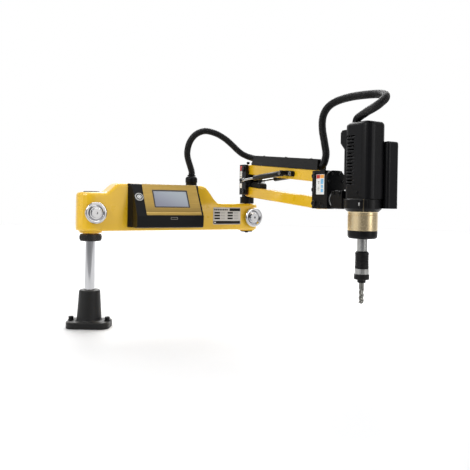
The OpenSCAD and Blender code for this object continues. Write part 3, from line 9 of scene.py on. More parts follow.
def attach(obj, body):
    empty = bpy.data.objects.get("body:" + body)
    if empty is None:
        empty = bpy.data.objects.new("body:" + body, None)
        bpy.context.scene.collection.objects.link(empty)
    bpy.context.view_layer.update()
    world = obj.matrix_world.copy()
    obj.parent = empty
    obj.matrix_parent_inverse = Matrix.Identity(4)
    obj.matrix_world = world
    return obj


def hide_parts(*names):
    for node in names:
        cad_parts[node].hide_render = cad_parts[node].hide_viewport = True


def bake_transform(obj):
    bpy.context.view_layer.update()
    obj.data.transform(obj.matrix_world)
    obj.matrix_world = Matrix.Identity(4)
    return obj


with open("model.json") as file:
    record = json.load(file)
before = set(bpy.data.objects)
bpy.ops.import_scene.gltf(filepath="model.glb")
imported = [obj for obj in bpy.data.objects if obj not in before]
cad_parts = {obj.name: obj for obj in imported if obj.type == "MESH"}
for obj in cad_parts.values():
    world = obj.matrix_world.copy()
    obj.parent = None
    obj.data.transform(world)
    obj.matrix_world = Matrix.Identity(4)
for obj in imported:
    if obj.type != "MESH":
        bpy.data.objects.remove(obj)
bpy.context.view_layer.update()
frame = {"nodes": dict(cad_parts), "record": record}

MM = 0.001
nodes = frame["nodes"]
scene = bpy.context.scene


def mm(x, y, z):
    return Vector((x, y, z)) * MM


def turn(degrees, axis):
    return Matrix.Rotation(math.radians(degrees), 4, axis)


def shift(x, y, z):
    return Matrix.Translation(mm(x, y, z))


# Frames of the model's moving groups, in degrees and mm, as in its source
ARM_YAW, ARM_REACH, ELBOW_TURN, LINK_PITCH = 28, 565, -88.5, 4.9
YOKE_PIVOT_X, UPPER_PIVOT_Z, LOWER_PIVOT_Z = 27, 519.5, 439.5
HEAD_REACH = 613.987
PANEL_CORNER, PANEL_SLOPE = (145, -59, 454.2), 60.6
ARM = turn(ARM_YAW, "Z")
ELBOW = ARM @ shift(ARM_REACH, 0, 0) @ turn(ELBOW_TURN, "Z")
UPPER = ELBOW @ shift(YOKE_PIVOT_X, 0, UPPER_PIVOT_Z) @ turn(LINK_PITCH, "Y")
HEAD = ELBOW @ shift(HEAD_REACH, 0, 0)
PANEL = ARM @ shift(*PANEL_CORNER) @ turn(PANEL_SLOPE, "X")

# ---------------------------------------------------------------- camera
SENSOR_W, FOCAL_LENGTH, SHIFT_UP, NEAR = 36, 43.913, -0.0752, 0.05
EYE, EYE_ROLL = (0.4556, -1.81825, 0.4104), 1.04

lens = bpy.data.cameras.new("camera")
lens.sensor_width = SENSOR_W
lens.lens = FOCAL_LENGTH
lens.shift_y = SHIFT_UP
lens.clip_start = NEAR
camera = bpy.data.objects.new("camera", lens)
scene.collection.objects.link(camera)
camera.matrix_world = Matrix.Translation(EYE) @ turn(90, "X") @ turn(EYE_ROLL, "Z")
scene.camera = camera


# ---------------------------------------------------------------- materials
NOISE_LOW, NOISE_HIGH = 0.3, 0.7
STREAKS_PER_GRAIN, EDGE_SAMPLES, CHIP_SCALE, DUST_SCALE = 8, 4, 220.0, 60.0


def srgb(r, g, b):
    def line(c):
        c /= 255
        return c / 12.92 if c <= 0.04045 else ((c + 0.055) / 1.055) ** 2.4
    return (line(r), line(g), line(b), 1.0)


def scaled(colour, k):
    """A colour made k times as bright."""
    return tuple(min(1.0, c * k) for c in colour[:3]) + (1.0,)


def mapped(tree, value, low, high, start=0.0, end=1.0, smooth=False):
    """The value's range from start to end, turned into low to high."""
    n = tree.nodes.new("ShaderNodeMapRange")
    n.inputs["From Min"].default_value = start
    n.inputs["From Max"].default_value = end
    n.inputs["To Min"].default_value = low
    n.inputs["To Max"].default_value = high
    if smooth:
        n.interpolation_type = "SMOOTHSTEP"
    tree.links.new(value, n.inputs["Value"])
    return n.outputs["Result"]


def noisy(tree, where, scale, detail=3.0, rough=0.55):
    n = tree.nodes.new("ShaderNodeTexNoise")
    n.inputs["Scale"].default_value = scale
    n.inputs["Detail"].default_value = detail
    n.inputs["Roughness"].default_value = rough
    tree.links.new(where, n.inputs["Vector"])
    return n.outputs["Fac"]


def mixed(tree, fac, a, b):
    """Colour a where fac is 0, colour b where it is 1. Each is a colour or a socket."""
    n = tree.nodes.new("ShaderNodeMix")
    n.data_type = "RGBA"
    factor, low, high = (next(i for i in n.inputs if i.identifier == k)
                         for k in ("Factor_Float", "A_Color", "B_Color"))
    tree.links.new(fac, factor)
    for value, socket in ((a, low), (b, high)):
        if isinstance(value, tuple):
            socket.default_value = value
        else:
            tree.links.new(value, socket)
    return next(o for o in n.outputs if o.identifier == "Result_Color")


def maths(tree, kind, a, b):
    """A Math node. Each of a and b is a number or a socket."""
    n = tree.nodes.new("ShaderNodeMath")
    n.operation = kind
    for value, socket in ((a, n.inputs[0]), (b, n.inputs[1])):
        if isinstance(value, (int, float)):
            socket.default_value = value
        else:
            tree.links.new(value, socket)
    return n.outputs["Value"]


def finish(name, colour, rough, metallic=0.0, tint=0.06, blotch=16.0, swing=0.05,
           grain=700.0, depth=0.00003, edge=0.0008, wear=0.0, worn=None, coat=0.0,
           coat_rough=0.06, dust=0.0, stretch=None, spin=0.0, specular=0.5, cover=None):
    """A node material: blotches of colour, uneven gloss, fine grain, soft and worn edges.

    Scales are per metre, depth and edge in metres, spin in degrees round Z."""
    m = bpy.data.materials.new(name)
    m.use_nodes = True
    t = m.node_tree
    shader = t.nodes["Principled BSDF"]
    place = t.nodes.new("ShaderNodeTexCoord").outputs["Object"]
    along = place
    for key, value in (("Rotation", (0, 0, math.radians(-spin)) if spin else None),
                       ("Scale", stretch)):
        if value:
            s = t.nodes.new("ShaderNodeMapping")
            s.inputs[key].default_value = value
            t.links.new(along, s.inputs["Vector"])
            along = s.outputs["Vector"]
    patches = noisy(t, place, blotch)
    shade = mixed(t, mapped(t, patches, 0, 1, NOISE_LOW, NOISE_HIGH),
                  scaled(colour, 1 - tint), scaled(colour, 1 + tint))
    if cover:
        shade = cover(t, place, shade)
    streaks = noisy(t, along, grain / STREAKS_PER_GRAIN, 4.0, 0.6)
    gloss = mapped(t, streaks, rough - swing, rough + swing, NOISE_LOW, NOISE_HIGH)
    round_edge = t.nodes.new("ShaderNodeBevel")
    round_edge.samples = EDGE_SAMPLES
    round_edge.inputs["Radius"].default_value = edge
    fine = noisy(t, along, grain, 2.0)
    bump = t.nodes.new("ShaderNodeBump")
    bump.inputs["Strength"].default_value = 1.0
    bump.inputs["Distance"].default_value = depth
    t.links.new(fine, bump.inputs["Height"])
    t.links.new(round_edge.outputs["Normal"], bump.inputs["Normal"])
    t.links.new(bump.outputs["Normal"], shader.inputs["Normal"])
    if wear:
        face = t.nodes.new("ShaderNodeNewGeometry").outputs["Normal"]
        dot = t.nodes.new("ShaderNodeVectorMath")
        dot.operation = "DOT_PRODUCT"
        t.links.new(round_edge.outputs["Normal"], dot.inputs[0])
        t.links.new(face, dot.inputs[1])
        corner = mapped(t, dot.outputs["Value"], 1.0, 0.0, 0.80, 0.995)
        chips = mapped(t, noisy(t, place, CHIP_SCALE, 4.0, 0.65), 0.0, 1.0, 0.40, 0.62)
        mask = maths(t, "MULTIPLY", maths(t, "MULTIPLY", corner, chips), wear)
        shade = mixed(t, mask, shade, worn or scaled(colour, 1.8))
    if dust:
        up = t.nodes.new("ShaderNodeSeparateXYZ")
        t.links.new(t.nodes.new("ShaderNodeNewGeometry").outputs["Normal"],
                    up.inputs["Vector"])
        top = mapped(t, up.outputs["Z"], 0.0, dust, 0.5, 1.0)
        spread = mapped(t, noisy(t, place, DUST_SCALE), 0.2, 1.0, 0.35, 0.7)
        film = maths(t, "MULTIPLY", top, spread)
        shade = mixed(t, film, shade, DUST)
    t.links.new(shade, shader.inputs["Base Color"])
    t.links.new(gloss, shader.inputs["Roughness"])
    shader.inputs["Metallic"].default_value = metallic
    shader.inputs["Specular IOR Level"].default_value = specular
    shader.inputs["Coat Weight"].default_value = coat
    shader.inputs["Coat Roughness"].default_value = coat_rough
    return m


def sloped(t, x_share, z_share):
    """A value that grows over a node's own box, along X and Z in the given shares."""
    at = t.nodes.new("ShaderNodeSeparateXYZ")
    t.links.new(t.nodes.new("ShaderNodeTexCoord").outputs["Generated"], at.inputs["Vector"])
    return maths(t, "ADD", maths(t, "MULTIPLY", at.outputs["X"], x_share),
                 maths(t, "MULTIPLY", at.outputs["Z"], z_share))


def screen_painted_sheen(t, place, shade):
    """The screen's colour with a painted sheen, lighter towards its upper right corner."""
    return mixed(t, mapped(t, sloped(t, 0.45, 0.55), 0, 1, 0.1, 0.85, smooth=True),
                 srgb(126, 128, 144), srgb(160, 169, 178))


def panel_streaks_and_painted_shade(t, place, shade):
    """The anodised plate's colour with long streaks, and painted shade that makes it browner
    towards its foot.
    """
    # Painted shade: the plate darkened and browned towards its foot
    foot = mapped(t, sloped(t, 0.0, 1.0), 0.75, 0.0, 0.0, 0.45, smooth=True)
    low = mixed(t, foot, shade, srgb(112, 93, 53))
    turned = t.nodes.new("ShaderNodeMapping")
    turned.inputs["Rotation"].default_value = (0, 0, math.radians(-ARM_YAW))
    t.links.new(place, turned.inputs["Vector"])
    flat = t.nodes.new("ShaderNodeMapping")
    flat.inputs["Scale"].default_value = (0.04, 1, 1)
    t.links.new(turned.outputs["Vector"], flat.inputs["Vector"])
    streak = mapped(t, noisy(t, flat.outputs["Vector"], 320.0, 3.0), 0.0, 0.5, 0.35, 0.75)
    return mixed(t, streak, low, srgb(140, 116, 64))


DUST = srgb(150, 145, 135)
MATERIALS = {
    "cast_base": finish("cast_base", srgb(24, 24, 24), 0.42, tint=0.14, blotch=22,
                        specular=0.25, swing=0.08, grain=420, depth=0.00016, edge=0.0015, wear=0.5,
                        worn=srgb(104, 103, 100), dust=0.1),
    "chrome": finish("chrome", srgb(202, 202, 204), 0.05, 1.0, tint=0.03, blotch=9,
                     swing=0.02, grain=900, depth=0.000004, edge=0.0006,
                     stretch=(1, 1, 0.06)),
    "steel": finish("steel", srgb(170, 170, 168), 0.27, 1.0, tint=0.08, blotch=30,
                    swing=0.08, grain=1200, depth=0.00001, edge=0.0005, wear=0.4,
                    worn=srgb(225, 225, 222), stretch=(1, 1, 0.1)),
    "black_steel": finish("black_steel", srgb(16, 16, 17), 0.34, tint=0.18, specular=0.2,
                          blotch=40, swing=0.07, grain=900, depth=0.00002, edge=0.0007,
                          wear=0.45, worn=srgb(128, 127, 124)),
    "bronze": finish("bronze", srgb(190, 138, 70), 0.3, 1.0, tint=0.12, blotch=35,
                     swing=0.08, grain=800, depth=0.00002, edge=0.0005, wear=0.3,
                     worn=srgb(236, 196, 128)),
    "yellow": finish("yellow", srgb(231, 184, 26), 0.3, tint=0.035, blotch=7, swing=0.04,
                     grain=260, depth=0.00003, edge=0.0022, wear=0.22,
                     worn=srgb(255, 214, 110), coat=0.55, coat_rough=0.09, dust=0.05),
    "black_sheet": finish("black_sheet", srgb(27, 27, 27), 0.4, tint=0.1, blotch=14,
                          specular=0.2, swing=0.06, grain=650, depth=0.00005,
                          edge=0.0008, wear=0.4, worn=srgb(110, 110, 108), dust=0.07),
    "black_alu": finish("black_alu", srgb(14, 14, 15), 0.33, tint=0.15, blotch=26,
                        specular=0.16, swing=0.06, grain=800, depth=0.00003, edge=0.0009, wear=0.5,
                        worn=srgb(134, 134, 134), dust=0.06),
    "black_plastic": finish("black_plastic", srgb(12, 12, 14), 0.33, tint=0.12, specular=0.16,
                            blotch=20, swing=0.05, grain=950, depth=0.00004,
                            edge=0.0012, wear=0.3, worn=srgb(84, 84, 84), dust=0.06),
    "grey_plastic": finish("grey_plastic", srgb(50, 47, 46), 0.36, tint=0.1, blotch=18,
                           swing=0.06, grain=800, depth=0.00004, edge=0.0012, wear=0.3,
                           worn=srgb(128, 128, 128), dust=0.05),
    # The panel's cover adds long streaks and painted shade at its foot
    "panel": finish("panel", srgb(180, 149, 79), 0.34, 0.8, tint=0.08, blotch=10,
                    swing=0.03, grain=1500, depth=0.000012, edge=0.0006, wear=0.4,
                    worn=srgb(240, 214, 150), stretch=(0.03, 1, 1), spin=ARM_YAW,
                    cover=panel_streaks_and_painted_shade),
    # The screen's cover paints a sheen on it, lighter towards its upper right corner
    "screen": finish("screen", srgb(143, 150, 165), 0.12, tint=0.03, blotch=6,
                     swing=0.02, grain=2400, depth=0.000002, edge=0.0003, coat=0.6,
                     coat_rough=0.02, cover=screen_painted_sheen),
    "button": finish("button", srgb(240, 242, 242), 0.26, tint=0.03, blotch=60,
                     swing=0.04, grain=900, depth=0.00001, edge=0.0005, coat=0.4),
    "rubber": finish("rubber", srgb(20, 20, 21), 0.66, specular=0.2, tint=0.16, blotch=50,
                     swing=0.07, grain=600, depth=0.00008, edge=0.0015, dust=0.14),
    "gold_alu": finish("gold_alu", srgb(218, 198, 158), 0.26, 0.9, tint=0.02, blotch=20,
                       swing=0.025, grain=1600, depth=0.00001, edge=0.0008, wear=0.35,
                       worn=srgb(240, 232, 214), stretch=(1, 1, 12)),
    "motor": finish("motor", srgb(58, 58, 60), 0.4, 0.3, tint=0.1, blotch=30,
                    swing=0.06, grain=700, depth=0.00004, edge=0.0008, wear=0.3),
    "hose": finish("hose", srgb(13, 13, 14), 0.38, tint=0.1, blotch=45, swing=0.07,
                   specular=0.22, grain=900, depth=0.00003, edge=0.0005, wear=0.3,
                   worn=srgb(72, 72, 73), dust=0.07),
}

# Nodes that look unlike the rest of their slot
OWN = {
    "tap": finish("tool_steel", srgb(128, 127, 122), 0.22, 1.0, tint=0.1, blotch=60,
                  swing=0.05, grain=1500, depth=0.000012, edge=0.0004, wear=0.6,
                  worn=srgb(205, 204, 198)),
    "column_collar": finish("collar_steel", srgb(58, 55, 53), 0.26, 0.75, tint=0.12,
                            blotch=40, swing=0.06, grain=1200, depth=0.00001,
                            edge=0.0008, wear=0.5, worn=srgb(160, 156, 150),
                            stretch=(1, 1, 8)),
}
for row in frame["record"]["subparts"]:
    mesh = nodes[row["node"]].data
    mesh.materials.clear()
    mesh.materials.append(OWN.get(row["node"]) or MATERIALS[row["material_slot"]])


# ---------------------------------------------------------------- mesh helpers
# A screw head: its sides, rounding, socket width and depth as shares, and the socket's lead
HEAD_SIDES, HEAD_ROUND, KEY_SHARE, KEY_DEPTH, KEY_LEAD = 24, 0.12, 0.5, 0.55, 0.3


def add(name, bm, where, body, slot, material=None, smooth_angle=35):
    """The piece made from bm: moved by where, riding body, in its slot. Takes bm away."""
    mesh = bpy.data.meshes.new(name)
    bmesh.ops.remove_doubles(bm, verts=bm.verts, dist=1e-7)
    bmesh.ops.recalc_face_normals(bm, faces=bm.faces)
    bm.to_mesh(mesh)
    bm.free()
    if where is not None:
        mesh.transform(where)
    obj = bpy.data.objects.new(name, mesh)
    scene.collection.objects.link(obj)
    mesh.materials.append(material or MATERIALS[slot])
    mesh.shade_smooth()
    mesh.set_sharp_from_angle(angle=math.radians(smooth_angle))
    if body:
        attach(obj, body)
    return obj


def bridge(bm, rings):
    """Faces between each closed ring of points and the next."""
    for a, b in zip(rings, rings[1:]):
        for i in range(len(a)):
            j = (i + 1) % len(a)
            bm.faces.new((a[i], a[j], b[j], b[i]))


def tube(bm, rings):
    """A closed skin over the rings, flat at both ends."""
    bridge(bm, rings)
    bm.faces.new(list(reversed(rings[0])))
    bm.faces.new(rings[-1])


def outline(w, h, r, steps=5):
    """Points of a rectangle with rounded corners, in mm, round its centre."""
    points = []
    for cx, cy, a0 in ((w / 2 - r, h / 2 - r, 0), (r - w / 2, h / 2 - r, 90),
                       (r - w / 2, r - h / 2, 180), (w / 2 - r, r - h / 2, 270)):
        for k in range(steps + 1):
            a = math.radians(a0 + 90 * k / steps)
            points.append((cx + r * math.cos(a), cy + r * math.sin(a)))
    return points


def slab(bm, points, z0, z1, edge, cx=0.0, cy=0.0):
    """A flat plate with a chamfered upper edge, added to bm. All in mm."""
    rings = []
    for z, inset in ((z0, 0.0), (z1 - edge, 0.0), (z1, edge)):
        ring = []
        for x, y in points:
            k = max(1e-6, math.hypot(x, y))
            ring.append(bm.verts.new(mm(cx + x - x / k * inset, cy + y - y / k * inset, z)))
        rings.append(ring)
    tube(bm, rings)


def lathe(bm, profile, sides=32, centre=(0.0, 0.0)):
    """A closed turned form from (radius, height) points in mm; the ends lie on the axis."""
    rings = []
    for r, z in profile:
        if r <= 1e-6:
            rings.append([bm.verts.new(mm(centre[0], centre[1], z))])
        else:
            rings.append([
                bm.verts.new(mm(centre[0] + r * math.cos(2 * math.pi * k / sides),
                                centre[1] + r * math.sin(2 * math.pi * k / sides), z))
                for k in range(sides)])
    for a, b in zip(rings, rings[1:]):
        for k in range(sides):
            j = (k + 1) % sides
            if len(a) == 1:
                bm.faces.new((a[0], b[k], b[j]))
            elif len(b) == 1:
                bm.faces.new((a[k], a[j], b[0]))
            else:
                bm.faces.new((a[k], a[j], b[j], b[k]))


def socket_head(bm, d, h, centre, z):
    """A screw head with a hexagonal socket, its seat at z, in mm."""
    x0, y0 = centre
    r, inner = d / 2, KEY_SHARE * d / 2

    def ring(radius, height, six=False):
        out = []
        for k in range(HEAD_SIDES):
            a = 2 * math.pi * k / HEAD_SIDES
            rad = radius
            if six:
                b = (math.degrees(a) % 60) - 30
                rad = radius * math.cos(math.radians(30)) / math.cos(math.radians(b))
            out.append(bm.verts.new(mm(x0 + rad * math.cos(a), y0 + rad * math.sin(a), height)))
        return out

    e = HEAD_ROUND * h
    rings = [ring(r, z), ring(r, z + h - 2 * e), ring(r - 0.3 * e, z + h - e),
             ring(r - 1.2 * e, z + h), ring(inner * 1.08, z + h),
             ring(inner, z + h - KEY_LEAD, True), ring(inner, z + h * (1 - KEY_DEPTH), True)]
    tube(bm, rings)


# ---------------------------------------------------------------- hoses
# Sizes and routes in mm, as in the model's source
HOSE_D, HOSE_LEAD, RIB_PITCH, RIB_DEPTH, HOSE_SIDES = 22.5, 14, 3.8, 1.1, 24
RIB_SHAPE = (0.0, 0.62, 1.0, 1.0, 1.0, 0.62)
DUCT_IN, DUCT_IN_WAY = Vector((35.1, 0, 35.65)), Vector((-0.9659, 0, 0.2588))
DUCT_OUT, DUCT_OUT_WAY = Vector((405, 0, 30.7)), Vector((0.7071, 0, 0.7071))
HEAD_MOUTH, HEAD_MOUTH_WAY = Vector((597.883, -6, 640.414)), Vector((0.9397, 0, 0.3420))
ARM_ROUTE = [
    (344, 0, 492.6), (344, 0, 506.6),
    (329, 2, 555), (330, 2, 587), (341, 1, 615), (362, -1, 637), (394, -3, 648),
    (434, -6, 641), (467, -9, 625), (494, -10, 606), (514, -12, 589), (532, -17, 575),
    (549, -26, 566), (561, -38, 561),
]
HEAD_ROUTE = [
    (453, -1, 550), (450, -5, 584), (446, -10, 620), (449, -13, 651), (461, -13, 674),
    (482, -10, 690), (516, -6, 699), (565, -2, 702), (615, 1, 700), (657, 2, 696),
    (686, -4, 690), (706, -14, 683), (719, -28, 672), (716, -39, 661), (698, -37, 655),
    (672, -28, 652), (645, -17, 650.5), (626, -9, 648.5),
]


def catmull(points, fine=24):
    """A smooth line through the points, with fine steps between each two."""
    out = []
    last = len(points) - 1
    for i in range(last):
        a, b, c, d = (points[max(0, i - 1)], points[i], points[i + 1],
                      points[min(last, i + 2)])
        for k in range(fine):
            t = k / fine
            out.append(0.5 * (2 * b + (c - a) * t + (2 * a - 5 * b + 4 * c - d) * t * t
                              + (3 * b - 3 * c + d - a) * t ** 3))
    return out + [points[-1]]


def spaced(line, count):
    """The line cut into count equal steps, and its length."""
    sums = [0.0]
    for a, b in zip(line, line[1:]):
        sums.append(sums[-1] + (b - a).length)
    out, j = [], 0
    for k in range(count + 1):
        want = sums[-1] * k / count
        while j < len(line) - 2 and sums[j + 1] < want:
            j += 1
        step = sums[j + 1] - sums[j]
        out.append(line[j].lerp(line[j + 1], 0 if step == 0 else (want - sums[j]) / step))
    return out, sums[-1]


# Where each hose's pieces meet, as shares of its length, and the way its first side looks
ARM_CUTS, HEAD_CUTS = (0.67,), (0.25, 0.745)
FIRST_SIDE = Vector((0.3, 0.9, 0.1))


def hose_piece(name, centres, tangents, sides_of, first, last):
    """The ribbed tube from one centre to another, closed at both ends by a disc."""
    bm = bmesh.new()
    rings = []
    for i in range(first, last + 1):
        r = (HOSE_D / 2 - RIB_DEPTH + RIB_DEPTH * RIB_SHAPE[i % len(RIB_SHAPE)]) * MM
        u, v = sides_of[i], tangents[i].cross(sides_of[i])
        rings.append([bm.verts.new(centres[i] + r * (math.cos(a) * u + math.sin(a) * v))
                      for a in (2 * math.pi * k / HOSE_SIDES for k in range(HOSE_SIDES))])
    tube(bm, rings)
    return add(name, bm, None, None, "hose", smooth_angle=60)


def hose(name, points, cuts, node, bodies):
    """A hose in pieces that meet at the shares in cuts of its length.

    Each piece given two bodies stays in place, riding neither; a piece given one rides it."""
    line = catmull(points)
    per_rib = len(RIB_SHAPE)
    count = per_rib * round(spaced(line, 1)[1] / MM / RIB_PITCH)
    centres, total = spaced(line, count)
    tangents = []
    for i in range(count + 1):
        a, b = centres[max(0, i - 1)], centres[min(count, i + 1)]
        tangents.append((b - a).normalized())
    side = FIRST_SIDE
    sides_of = []
    for t in tangents:
        side = (side - side.dot(t) * t).normalized()
        sides_of.append(side.copy())
    ends = [0] + [per_rib * round(count * cut / per_rib) for cut in cuts] + [count]
    for part, first, last, between in zip("abc", ends, ends[1:], bodies):
        o = hose_piece(f"{name}_{part}", centres, tangents, sides_of, first, last)
        if len(between) == 2:
            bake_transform(o)
        else:
            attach(o, between[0])
        if part == "a":
            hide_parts(node)


arm_points = [ARM @ mm(*p) for p in ARM_ROUTE]
arm_points += [UPPER @ ((DUCT_IN + k * DUCT_IN_WAY) * MM) for k in (HOSE_LEAD, 0)]
head_points = [UPPER @ ((DUCT_OUT + k * DUCT_OUT_WAY) * MM) for k in (0, HOSE_LEAD)]
head_points += [ELBOW @ mm(*p) for p in HEAD_ROUTE]
head_points += [ELBOW @ ((HEAD_MOUTH + k * HEAD_MOUTH_WAY) * MM) for k in (HOSE_LEAD, 0)]
hose("arm_hose", arm_points, ARM_CUTS, "arm_hose",
     (("control_arm", "yoke"), ("yoke", "upper_link")))
hose("head_hose", head_points, HEAD_CUTS, "head_hose",
     (("upper_link", "end_block"), ("end_block", "head"), ("head",)))

# ---------------------------------------------------------------- small pieces
def ink(name, colour, rough=0.4, tint=0.08, blotch=60, **more):
    """A thin flat print or paint."""
    return finish(name, colour, rough, tint=tint, blotch=blotch, grain=900, depth=0.000004,
                  edge=0.0002, **more)


PRINT = ink("print_dark", srgb(26, 24, 22), 0.45, tint=0.1, blotch=90, specular=0.2)
PALE = ink("print_pale", srgb(232, 232, 228), tint=0.03, coat=0.3)
RED = ink("print_red", srgb(196, 48, 34), coat=0.3)
ORANGE = ink("print_orange", srgb(236, 160, 60), coat=0.3)
BLUE = ink("print_blue", srgb(120, 186, 226), tint=0.1, blotch=90, coat=0.3)
GREY = ink("print_grey", srgb(128, 126, 122), 0.42, tint=0.1, blotch=90)
BADGE_RIM = ink("badge_rim", srgb(104, 101, 96), 0.36, blotch=90, metallic=0.5)
PLATE_METAL = finish("plate_metal", srgb(186, 183, 178), 0.34, 0.7, tint=0.05, blotch=30,
                     swing=0.07, grain=1500, depth=0.000008, edge=0.0004,
                     stretch=(0.05, 1, 1), wear=0.3, worn=srgb(226, 224, 220))
GLOSS_BLACK = finish("gloss_black", srgb(22, 22, 24), 0.16, 0.4, tint=0.15, blotch=60,
                     swing=0.05, grain=900, depth=0.000008, edge=0.0005, wear=0.4,
                     worn=srgb(120, 120, 118))


# In mm: how deep plates, prints and screw heads sink in what carries them, their chamfers,
# a print's corner radius as a share of its side, and the thickness of a print
PLATE_SUNK, PRINT_SUNK, HEAD_SUNK = 0.3, 0.05, 0.2
PLATE_EDGE, PRINT_EDGE, PRINT_ROUND = 0.25, 0.02, 0.15
PRINT_T, THIN_PRINT_T = 0.12, 0.06


def plate(name, where, body, slot, material, w, h, t, r=1.5, sunk=PLATE_SUNK):
    """A flat plate with round corners, its upper face t above where."""
    bm = bmesh.new()
    slab(bm, outline(w, h, r), -sunk, t, PLATE_EDGE)
    add(name, bm, where, body, slot, material)


def prints(name, where, body, slot, material, rects, z0, t=PRINT_T):
    """Flat marks on a plate, each (x, y, width, height) in mm."""
    bm = bmesh.new()
    for x, y, w, h in rects:
        slab(bm, outline(w, h, min(w, h) * PRINT_ROUND, 2), z0 - PRINT_SUNK, z0 + t,
             PRINT_EDGE, x, y)
    add(name, bm, where, body, slot, material)


def heads(name, where, body, slot, places, d, h, material=None):
    """Screw heads of diameter d and height h at places (x, y) of where."""
    bm = bmesh.new()
    for place in places:
        socket_head(bm, d, h, place, -HEAD_SUNK)
    add(name, bm, where, body, slot, material)


def facing(carrier, x, y, z, side=-1):
    """A place on a side face of carrier: local x along it, local z out of it."""
    way = turn(90, "X") if side < 0 else turn(180, "Z") @ turn(90, "X")
    return carrier @ shift(x, y, z) @ way


# Data plate on the casing, its marks bare bars
DATA_W, DATA_H, DATA_T, CASING_TAPER = 108, 59, 0.9, 1.115
RIVET_X, RIVET_Y = 51.6, 27.2
RIVET = [(0, 0.5), (1.3, 0.5), (1.3, 1.1), (0.8, 1.5), (0, 1.6)]
ROWS = (11, 1.2, -8.6)
DATA = ARM @ shift(465, -37.95, 353) @ turn(CASING_TAPER, "Z") @ turn(90, "X")
plate("data_plate", DATA, "control_arm", "steel", PLATE_METAL, DATA_W, DATA_H, DATA_T)
HEADLINE = [(-48 + 6.8 * k, 21.6, 5, 5.2) for k in range(8)] + [(31, 22, 43, 10)]
FOOT_BAR, FOOT_SQUARE = (0, -22.4, 105, 10.4), (-47, -22.4, 6, 4)
marks = HEADLINE + [FOOT_BAR]
for y in ROWS:
    marks += [(-38.5, y, 22, 5.8), (12.5, y, 21, 5.8)]
prints("data_plate_marks", DATA, "control_arm", "black_plastic", PRINT, marks, DATA_T)
lines = [(x, y + dy, w, 1.1) for y in ROWS for x, w in ((-16, 16), (36, 17))
         for dy in (-1.4, 1.3)]
prints("data_plate_lines", DATA, "control_arm", "black_plastic", GREY, lines, DATA_T)
prints("data_plate_square", DATA, "control_arm", "button", PALE, [FOOT_SQUARE],
       DATA_T + 0.1)
bm = bmesh.new()
for x in (-RIVET_X, RIVET_X):
    for y in (-RIVET_Y, RIVET_Y):
        lathe(bm, RIVET, 12, (x, y))
add("data_plate_rivets", bm, DATA, "control_arm", "steel")

# Bare badge on the bezel's chin
CHIN_SLOPE, BADGE_T = 2.9, 0.5
BADGE = ARM @ shift(236.8, -116.1, 347.2) @ turn(90 - CHIN_SLOPE, "X")
plate("chin_badge", BADGE, "control_arm", "steel", BADGE_RIM, 24, 8, BADGE_T, 1.2, 0.6)
prints("chin_badge_field", BADGE, "control_arm", "black_plastic", PRINT,
       [(0, 0, 20.5, 4.8)], BADGE_T, THIN_PRINT_T)

# Lip along the panel plate's foot: its section as (up the slope, out of it), in mm
LIP_FOOT, LIP_SEAT = -111.4, 1.7
LIP = [(-1.2, LIP_SEAT), (-1.2, 2.3), (2.0, 3.3), (6.5, 3.3), (9.5, 2.2), (9.5, LIP_SEAT)]
LIP_ENDS = ((0.6, 0.4), (1.0, 0.0), (188.0, 0.0), (188.4, 0.4))
bm = bmesh.new()
sections = [[bm.verts.new(mm(x, LIP_FOOT + a, max(LIP_SEAT, b - inset))) for a, b in LIP]
            for x, inset in LIP_ENDS]
bridge(bm, sections)
bm.faces.new(sections[0])
bm.faces.new(list(reversed(sections[-1])))
add("panel_lip", bm, PANEL, "control_arm", "panel", smooth_angle=20)


def ring_arc(bm, r0, r1, z0, z1, a0=0.0, a1=360.0, steps=40):
    """A flat ring, or the part of it between two angles in degrees. Sizes in mm."""
    closed = a1 - a0 >= 360
    count = steps if closed else steps + 1
    rows = []
    for k in range(count):
        a = math.radians(a0 + (a1 - a0) * k / steps)
        c, d = math.cos(a), math.sin(a)
        rows.append([bm.verts.new(mm(r * c, r * d, z))
                     for r, z in ((r0, z0), (r1, z0), (r1, z1), (r0, z1))])
    bridge(bm, rows + (rows[:1] if closed else []))
    if not closed:
        bm.faces.new(rows[0])
        bm.faces.new(list(reversed(rows[-1])))


# Dark ring and power mark of the button
BUTTON = PANEL @ shift(-15, -47, 0)
BUTTON_FACE, GROOVE_TOP, MARK_TOP = 2.5, 2.72, 2.74
bm = bmesh.new()
ring_arc(bm, 7.0, 10.7, BUTTON_FACE, GROOVE_TOP)
add("button_groove", bm, BUTTON, "power_key", "black_plastic", PRINT)
bm = bmesh.new()
ring_arc(bm, 3.0, 4.6, BUTTON_FACE, MARK_TOP, 125, 415, 26)
slab(bm, outline(1.6, 4.6, 0.5, 2), BUTTON_FACE, MARK_TOP, PRINT_EDGE, 0.0, 3.4)
add("button_mark", bm, BUTTON, "power_key", "black_plastic", PRINT)

# Labels without words
BLOCK_FACE, END_LABEL_T, YOKE_LABEL_T = -32, 0.25, 0.2
CHEEK, CHEEK_MIDDLE = facing(ELBOW, 0, BLOCK_FACE, 0), 9.6
TAG = facing(ELBOW, 468, BLOCK_FACE, 459)
plate("end_label", TAG, "end_block", "button", PALE, 37, 58, END_LABEL_T, 1.2)
for colour, ink_of_it, rects in (
    ("red", RED, [(-9.4, 22.6, 16, 11)]),
    ("orange", ORANGE, [(8.6, 23.0, 18, 10)]),
    ("blue", BLUE, [(8.6, 8.5, 12, 15), (8.6, -6, 10, 8), (8.6, -17.5, 11, 10)]),
    ("grey", GREY, [(-7.6, 7.6, 8, 2.4), (-7.6, 3.6, 5, 2.4), (-7.6, -8, 7, 1.4),
                    (-7.6, -12, 9, 1.4), (-7.6, -16, 6, 1.4)]),
):
    prints(f"end_label_{colour}", TAG, "end_block", "button", ink_of_it, rects,
           END_LABEL_T, THIN_PRINT_T)
